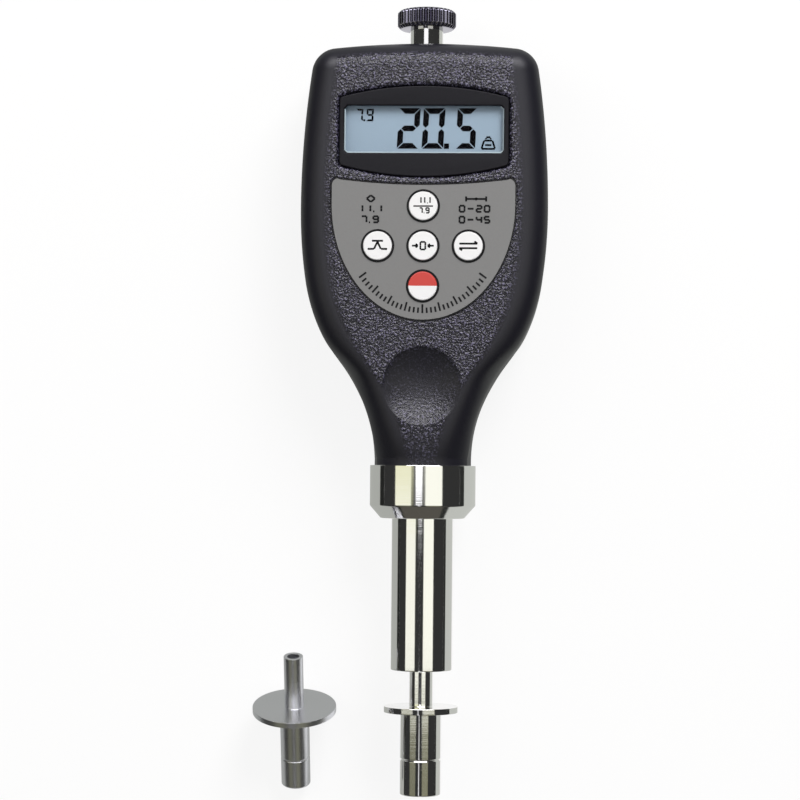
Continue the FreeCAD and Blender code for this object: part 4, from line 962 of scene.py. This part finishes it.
class TESTER_OT_metalwork(bpy.types.Operator):
    """Collar, guide tube, measuring tip, spare tip, load spring and thumb screw"""

    bl_idname = "tester.metalwork"
    bl_label = "Metalwork"

    def execute(self, context):
        s = context.scene.tester_metal
        chrome = turned_material("chrome_turned", s.chrome_colour, 0.05, s.chrome_roughness, 0.06)
        bore, tube_end, tube_top = 8.35, -54.8, 12.0
        collar = [(bore, 0), (bore, -14.2), (11.4, -14.2), (14.2, -10.8), (14.2, 0), (bore, 0)]
        add_object("collar_ring", turned_mesh(collar, 0.18), chrome, "chrome_body", "collar")
        tube = [(6.8, tube_top), (6.8, tube_end), (8.3, tube_end), (8.3, tube_top), (6.8, tube_top)]
        add_object("tube_polished", turned_mesh(tube, 0.3), chrome, "chrome_body", "guide_tube")
        gap, flange, length = 9.7, 1.6, 22.1
        tip = self.tip_profile(3.2, 15.0, 10.0, flange, 5.55, length, 9.6)
        tip_mesh = turned_mesh(tip, 0.14, shift=(0.0, tube_end - gap - flange - length, AXIS_Z))
        add_object("tip_polished", tip_mesh, chrome, "chrome_tip", "measuring_tip", "probe")
        self.spare_tip(s)
        self.load_spring()
        self.thumb_screw(s)
        return {"FINISHED"}

    def tip_profile(self, stem, stem_length, flange, thickness, radius, length, mark):
        """Profile of a measuring tip: plunger with its mark, flange, and stem with its hole."""
        hole, deep, groove, soft = 1.65, 8.0, 0.22, 0.3
        face = length + thickness
        top = face + stem_length
        return [(0, 0.06), (radius * 0.6, 0.03), (radius - soft, 0), (radius, 0.32), (radius, mark - soft),
                (radius - groove, mark), (radius, mark + soft), (radius, length), (flange, length),
                (flange, face), (stem, face), (stem, top), (hole, top), (hole, top - deep), (0, top - deep)]

    def spare_tip(self, s):
        """Smaller tip that lies on the floor, tilted between the edges of its flange and its plunger."""
        flange, radius, length = 11.3, 3.95, 21.5
        tilt = math.atan2(flange - radius, length - 0.35)
        profile = np.array(self.tip_profile(2.6, 14.5, flange, 1.5, radius, length, 8.1))
        place = (-34.3, -66.6, flange * math.cos(tilt))
        profile = rounded(profile, 0.14) - [0, length]
        spare = turned_mesh(profile, shift=place, turn=Matrix.Rotation(tilt, 3, "X"))
        steel = turned_material("steel_brushed", s.steel_colour, 0.22, 0.42, 0.35, -tilt, 2500.0)
        add_object("spare_tip_brushed", spare, steel, "steel_spare", "spare_tip")

    def load_spring(self):
        """Coils between the lower bush and the rod's piston. The real spring squashes as the rod slides in.
        """
        (_, foot, _), (_, head, _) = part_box("load_spring")
        low, high = (from_frame((0.0, y, 0.0))[1] for y in (foot, head))
        wire = turned_material("spring_wire", (0.5, 0.5, 0.52), 0.25, 0.4, 0.1)
        coil = coil_mesh(4.8, 0.8, low, high, 17)
        spring = add_object("spring_coil", coil, wire, "steel_inner", "load_spring")
        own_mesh(spring)

    def thumb_screw(self, s):
        """Knurled head, whose radius is R - d |sin(n a / 2)| at angle a with n ridges, and polished stem."""
        low, ridges, depth, inner = 117.8, 34, 0.55, 6.9
        around = np.linspace(0, 2 * math.pi, ridges * 8, endpoint=False)[:, None]
        outline = rounded([(0, 0), (6.2, 0), (7.1, 0.06), (7.9, 0.9), (7.9, 4.3), (7.2, 5.0), (0, 5.0)], 0.18)
        r, y = outline.T[:, None]
        ridge = 1 - np.abs(np.sin(around * ridges / 2))
        radius = r - depth * ridge * np.clip(r - inner, 0, 1)
        points = np.stack([radius * np.sin(around), low + y + 0 * ridge, radius * np.cos(around)], axis=-1)
        # Darker, lilac-tinted copy of the chrome: painted shade and painted lilac reflection for the dark
        # surroundings the knob mirrors.
        dark = turned_material("knurl_chrome_painted_dark", (0.26, 0.25, 0.31), 0.05, 0.12, 0.3)
        knob = grid_mesh(points + ROD, wrap_rows=True, angle=40)
        add_object("thumb_head", knob, dark, "chrome_body", "thumb_knob", "thumb_screw")
        chrome = turned_material("chrome_stem", s.chrome_colour, 0.04, 0.1, 0.1)
        foot, step, head = 97.6, 107.6, low + 0.2
        stem = [(0, foot), (2.9, foot), (2.9, step), (4.5, step), (4.5, head), (0, head)]
        add_object("thumb_shank", turned_mesh(stem, 0.1), chrome, "chrome_body", "thumb_stem", "thumb_screw")


def repaint(finish, *nodes):
    """Gives CAD nodes a better material."""
    for name in nodes:
        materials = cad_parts[name].data.materials
        materials.clear()
        materials.append(finish)


class TESTER_OT_power(bpy.types.Operator):
    """Cells, and the finishes of the pieces inside"""

    bl_idname = "tester.power"
    bl_label = "Cells and inner pieces"

    def execute(self, context):
        repaint(turned_material("cell_metal", (0.7, 0.69, 0.66), 0.2, 0.35, 0.1), "contact_springs",
                "contact_plates", "tube_nut", "probe_rod", "thumb_ring", "thumb_socket", "sensor_strap",
                "strap_screws", "board_screws")
        repaint(turned_material("bush_brass", (0.62, 0.43, 0.17), 0.2, 0.35, 0.1), "lower_bush", "upper_bush")
        # Colour, roughness and metallic share of the plain finishes, and their nodes
        for name, colour, roughness, metallic, nodes in (
                ("cell_sleeve", (0.03, 0.035, 0.05), 0.3, 0.0,
                 ("battery_1", "battery_2", "battery_3", "battery_4")),
                ("board_green", (0.02, 0.12, 0.05), 0.35, 0.0, ("circuit_board",)),
                ("moulded_black", (0.02, 0.02, 0.022), 0.45, 0.0, ("board_chips", "sensor_saddle")),
                ("moulded_white", (0.75, 0.75, 0.72), 0.5, 0.0,
                 ("display_holder", "display_backing", "sensor_bobbin")),
                ("mat_grey", (0.35, 0.35, 0.37), 0.6, 0.0, ("key_mat", "contact_strips")),
                ("wound_copper", (0.6, 0.25, 0.1), 0.35, 0.9, ("sensor_winding",)),
                ("iron_ground", (0.25, 0.25, 0.26), 0.3, 1.0, ("sensor_core",))):
            repaint(plain_material(name, colour, roughness, metallic), *nodes)
        return {"FINISHED"}


class TESTER_OT_studio(bpy.types.Operator):
    """Pale floor, soft lamps, cards that only reflections see, and the camera"""

    bl_idname = "tester.studio"
    bl_label = "Studio"

    def execute(self, context):
        s = context.scene.tester_studio
        self.floor(s)
        self.lamps(s)
        self.cards()
        self.world(s)
        self.camera(s)
        return {"FINISHED"}

    def floor(self, s):
        """Pale floor, whose part that camera and reflection rays see glows evenly and keeps some shadow."""
        size, glow_share = 4.0, 0.86
        mesh = bpy.data.meshes.new("floor")
        corners = [(-size, -size, 0), (size, -size, 0), (size, size, 0), (-size, size, 0)]
        mesh.from_pydata(corners, [], [(0, 1, 2, 3)])
        finish = plain_material("floor_pale", s.floor_colour, 0.9, Specular_IOR_Level=0.0)
        tree = finish.node_tree
        glow = node_of(tree, "Emission", Color=(1, 1, 1, 1), Strength=1.0)
        path = node_of(tree, "LightPath").outputs
        seen = node_of(tree, "Math", path["Is Camera Ray"], path["Is Glossy Ray"], operation="MAXIMUM")
        share = node_of(tree, "Math", seen, glow_share, operation="MULTIPLY")
        blend = node_of(tree, "MixShader", share, tree.nodes["Principled BSDF"], glow)
        feed(tree, tree.nodes["Material Output"].inputs["Surface"], blend)
        add_object("floor", mesh, finish)

    def lamps(self, s):
        """Two soft lamps aimed at the rod: place, size, power and colour."""
        aim = Vector((0.0, 0.0, AXIS_Z * MM))
        for name, place, size, power, colour in (
                ("lamp_left", (-0.80, 0.30, 0.80), (0.62, 1.2), s.left_power, (1.0, 0.985, 0.95)),
                ("lamp_right", (0.42, 0.78, 0.72), (0.5, 0.6), s.right_power, (1.0, 0.985, 0.985))):
            lamp = bpy.data.lights.new(name, "AREA")
            lamp.shape = "RECTANGLE"
            lamp.size, lamp.size_y = size
            lamp.energy = power
            lamp.color = colour
            piece = new_object(name, lamp)
            piece.visible_glossy = False
            piece.location = place
            piece.rotation_euler = (aim - Vector(place)).to_track_quat("-Z", "Y").to_euler()

    def cards(self):
        """Bright panels that only reflections see: they are what the lamps look like in the polished pieces.

        Each lies between two directions from straight up, in degrees, and between two places along the rod,
        in metres. Grey and dark cards on the floor, and a dim wall below, do the same for the rest."""
        cream, white, lilac = (1.0, 0.99, 0.69), (1.0, 0.995, 0.9), (0.98, 0.97, 1.0)
        grey, brown = (0.98, 1.0, 0.95), (1.0, 0.93, 0.8)
        reach, far, inner, edge, rise = 1.6, 3.0, 0.1, 0.016, 0.0002
        # Places along the rod where the tube's panels end and the collar's begin, and where those end
        low_end, tube_end, top_end = -0.25, -0.057, 0.2
        for number, (first, last, low, high, level, colour) in enumerate((
                (-59, -22.5, tube_end, top_end, 0.95, cream), (-12.8, 1.2, tube_end, top_end, 2.0, lilac),
                (7.8, 44.6, low_end, top_end, 1.15, white), (-8, -4, -far, low_end, 1.0, lilac),
                (-58, -25, -far, low_end, 0.2, cream), (12, 45, -far, low_end, 0.24, cream),
                (-16, 12, top_end, 0.6, 1.2, lilac), (-38, 46, 0.95, 2.2, 8.0, lilac),
                (-22.5, -17.5, tube_end, top_end, 0.5, cream), (-17.5, -12.8, tube_end, top_end, 0.22, white),
                (1.2, 4.4, tube_end, top_end, 0.25, white), (4.4, 7.8, tube_end, top_end, 0.5, white),
                (-59, -22.5, low_end, tube_end, 1.1, white))):
            angles = np.radians(np.linspace(first, last, 8))
            x, z = reach * np.sin(angles), reach * np.cos(angles)
            points = [np.stack([x, np.full_like(x, y), z], axis=1) for y in (low, high)]
            self.card("panel_%d" % (number + 1), points, level, colour)
        for name, left, right, level in (
                ("floor_far_left", -far, -inner, 0.02), ("floor_left", -inner, -edge, 0.46),
                ("floor_right", edge, inner, 0.6), ("floor_far_right", inner, far, 0.03)):
            self.card(name, [[(x, y, rise) for y in (-far, far)] for x in (left, right)], level, grey)
        self.card("low_wall", [[(x, -1.5, z) for z in (0.0, 0.9)] for x in (-1.2, 1.2)], 0.1, brown)

    def card(self, name, points, level, colour):
        """One card of an even brightness, seen by reflections alone."""
        finish = plain_material(name, (0.0, 0.0, 0.0), 1.0, Specular_IOR_Level=0.0,
                                Emission_Color=solid(colour), Emission_Strength=level)
        card = add_object(name, grid_mesh(from_frame(points)), finish)
        for ray in ("camera", "diffuse", "shadow", "transmission"):
            setattr(card, "visible_" + ray, False)

    def world(self, s):
        """Even light from all round; camera rays see it as white, and reflections see it dark."""
        world = bpy.data.worlds.new("studio")
        bpy.context.scene.world = world
        world.use_nodes = True
        tree = world.node_tree
        path = node_of(tree, "LightPath").outputs
        dim = node_of(tree, "MapRange", Value=path["Is Glossy Ray"], To_Min=s.world_level,
                      To_Max=s.reflected_level)
        level = node_of(tree, "MapRange", Value=path["Is Camera Ray"], To_Min=dim, To_Max=1.0)
        background = tree.nodes["Background"]
        feed(tree, background.inputs["Strength"], level)
        feed(tree, background.inputs["Color"], (1.0, 1.0, 1.0, 1.0))
        bpy.context.scene.view_settings.view_transform = "Standard"

    def camera(self, s):
        """Camera nearly straight above the tester, turned and rolled a little as the photographer's was."""
        lean, height = math.radians(2.226), -2.55
        data = bpy.data.cameras.new("camera")
        data.lens = s.camera_lens
        data.sensor_width = 36.0
        data.clip_start, data.clip_end = 0.01, 20.0
        camera = new_object("camera", data)
        matrix = Matrix.Translation((s.camera_distance * math.sin(lean), (height - ORIGIN) * MM,
                                     AXIS_Z * MM + s.camera_distance * math.cos(lean)))
        for angle, axis in ((2.793, "Y"), (1.798, "X"), (0.537, "Z")):
            matrix = matrix @ Matrix.Rotation(math.radians(angle), 4, axis)
        camera.matrix_world = matrix
        bpy.context.scene.camera = camera


class TESTER_PT_panel(bpy.types.Panel):
    """Lists the pieces and their settings."""

    bl_label = "Fruit Hardness Tester"
    bl_idname = "TESTER_PT_panel"
    bl_space_type = "VIEW_3D"
    bl_region_type = "UI"
    bl_category = "Tester"

    def draw(self, context):
        for operator in OPERATORS:
            self.layout.operator(operator.bl_idname)
        for holder, group in SETTINGS.items():
            box = self.layout.box()
            for key in group.__annotations__:
                box.prop(getattr(context.scene, holder), key)


SETTINGS = {
    "tester_casing": CasingSettings, "tester_display": DisplaySettings, "tester_keypad": KeypadSettings,
    "tester_metal": MetalSettings, "tester_studio": StudioSettings,
}
OPERATORS = (TESTER_OT_casing, TESTER_OT_display, TESTER_OT_keypad, TESTER_OT_metalwork, TESTER_OT_power,
             TESTER_OT_studio)
CLASSES = tuple(SETTINGS.values()) + OPERATORS + (TESTER_PT_panel,)


def register():
    """Registers the classes and hangs the settings on the scene."""
    for kind in CLASSES:
        bpy.utils.register_class(kind)
    for holder, group in SETTINGS.items():
        setattr(bpy.types.Scene, holder, bpy.props.PointerProperty(type=group))


def unregister():
    """Takes the settings and the classes away again."""
    for holder in SETTINGS:
        delattr(bpy.types.Scene, holder)
    for kind in reversed(CLASSES):
        bpy.utils.unregister_class(kind)


def main():
    """Builds every piece and the studio."""
    register()
    bpy.ops.tester.casing()
    bpy.ops.tester.display()
    bpy.ops.tester.keypad()
    bpy.ops.tester.metalwork()
    bpy.ops.tester.power()
    bpy.ops.tester.studio()


if __name__ == "__main__":
    main()
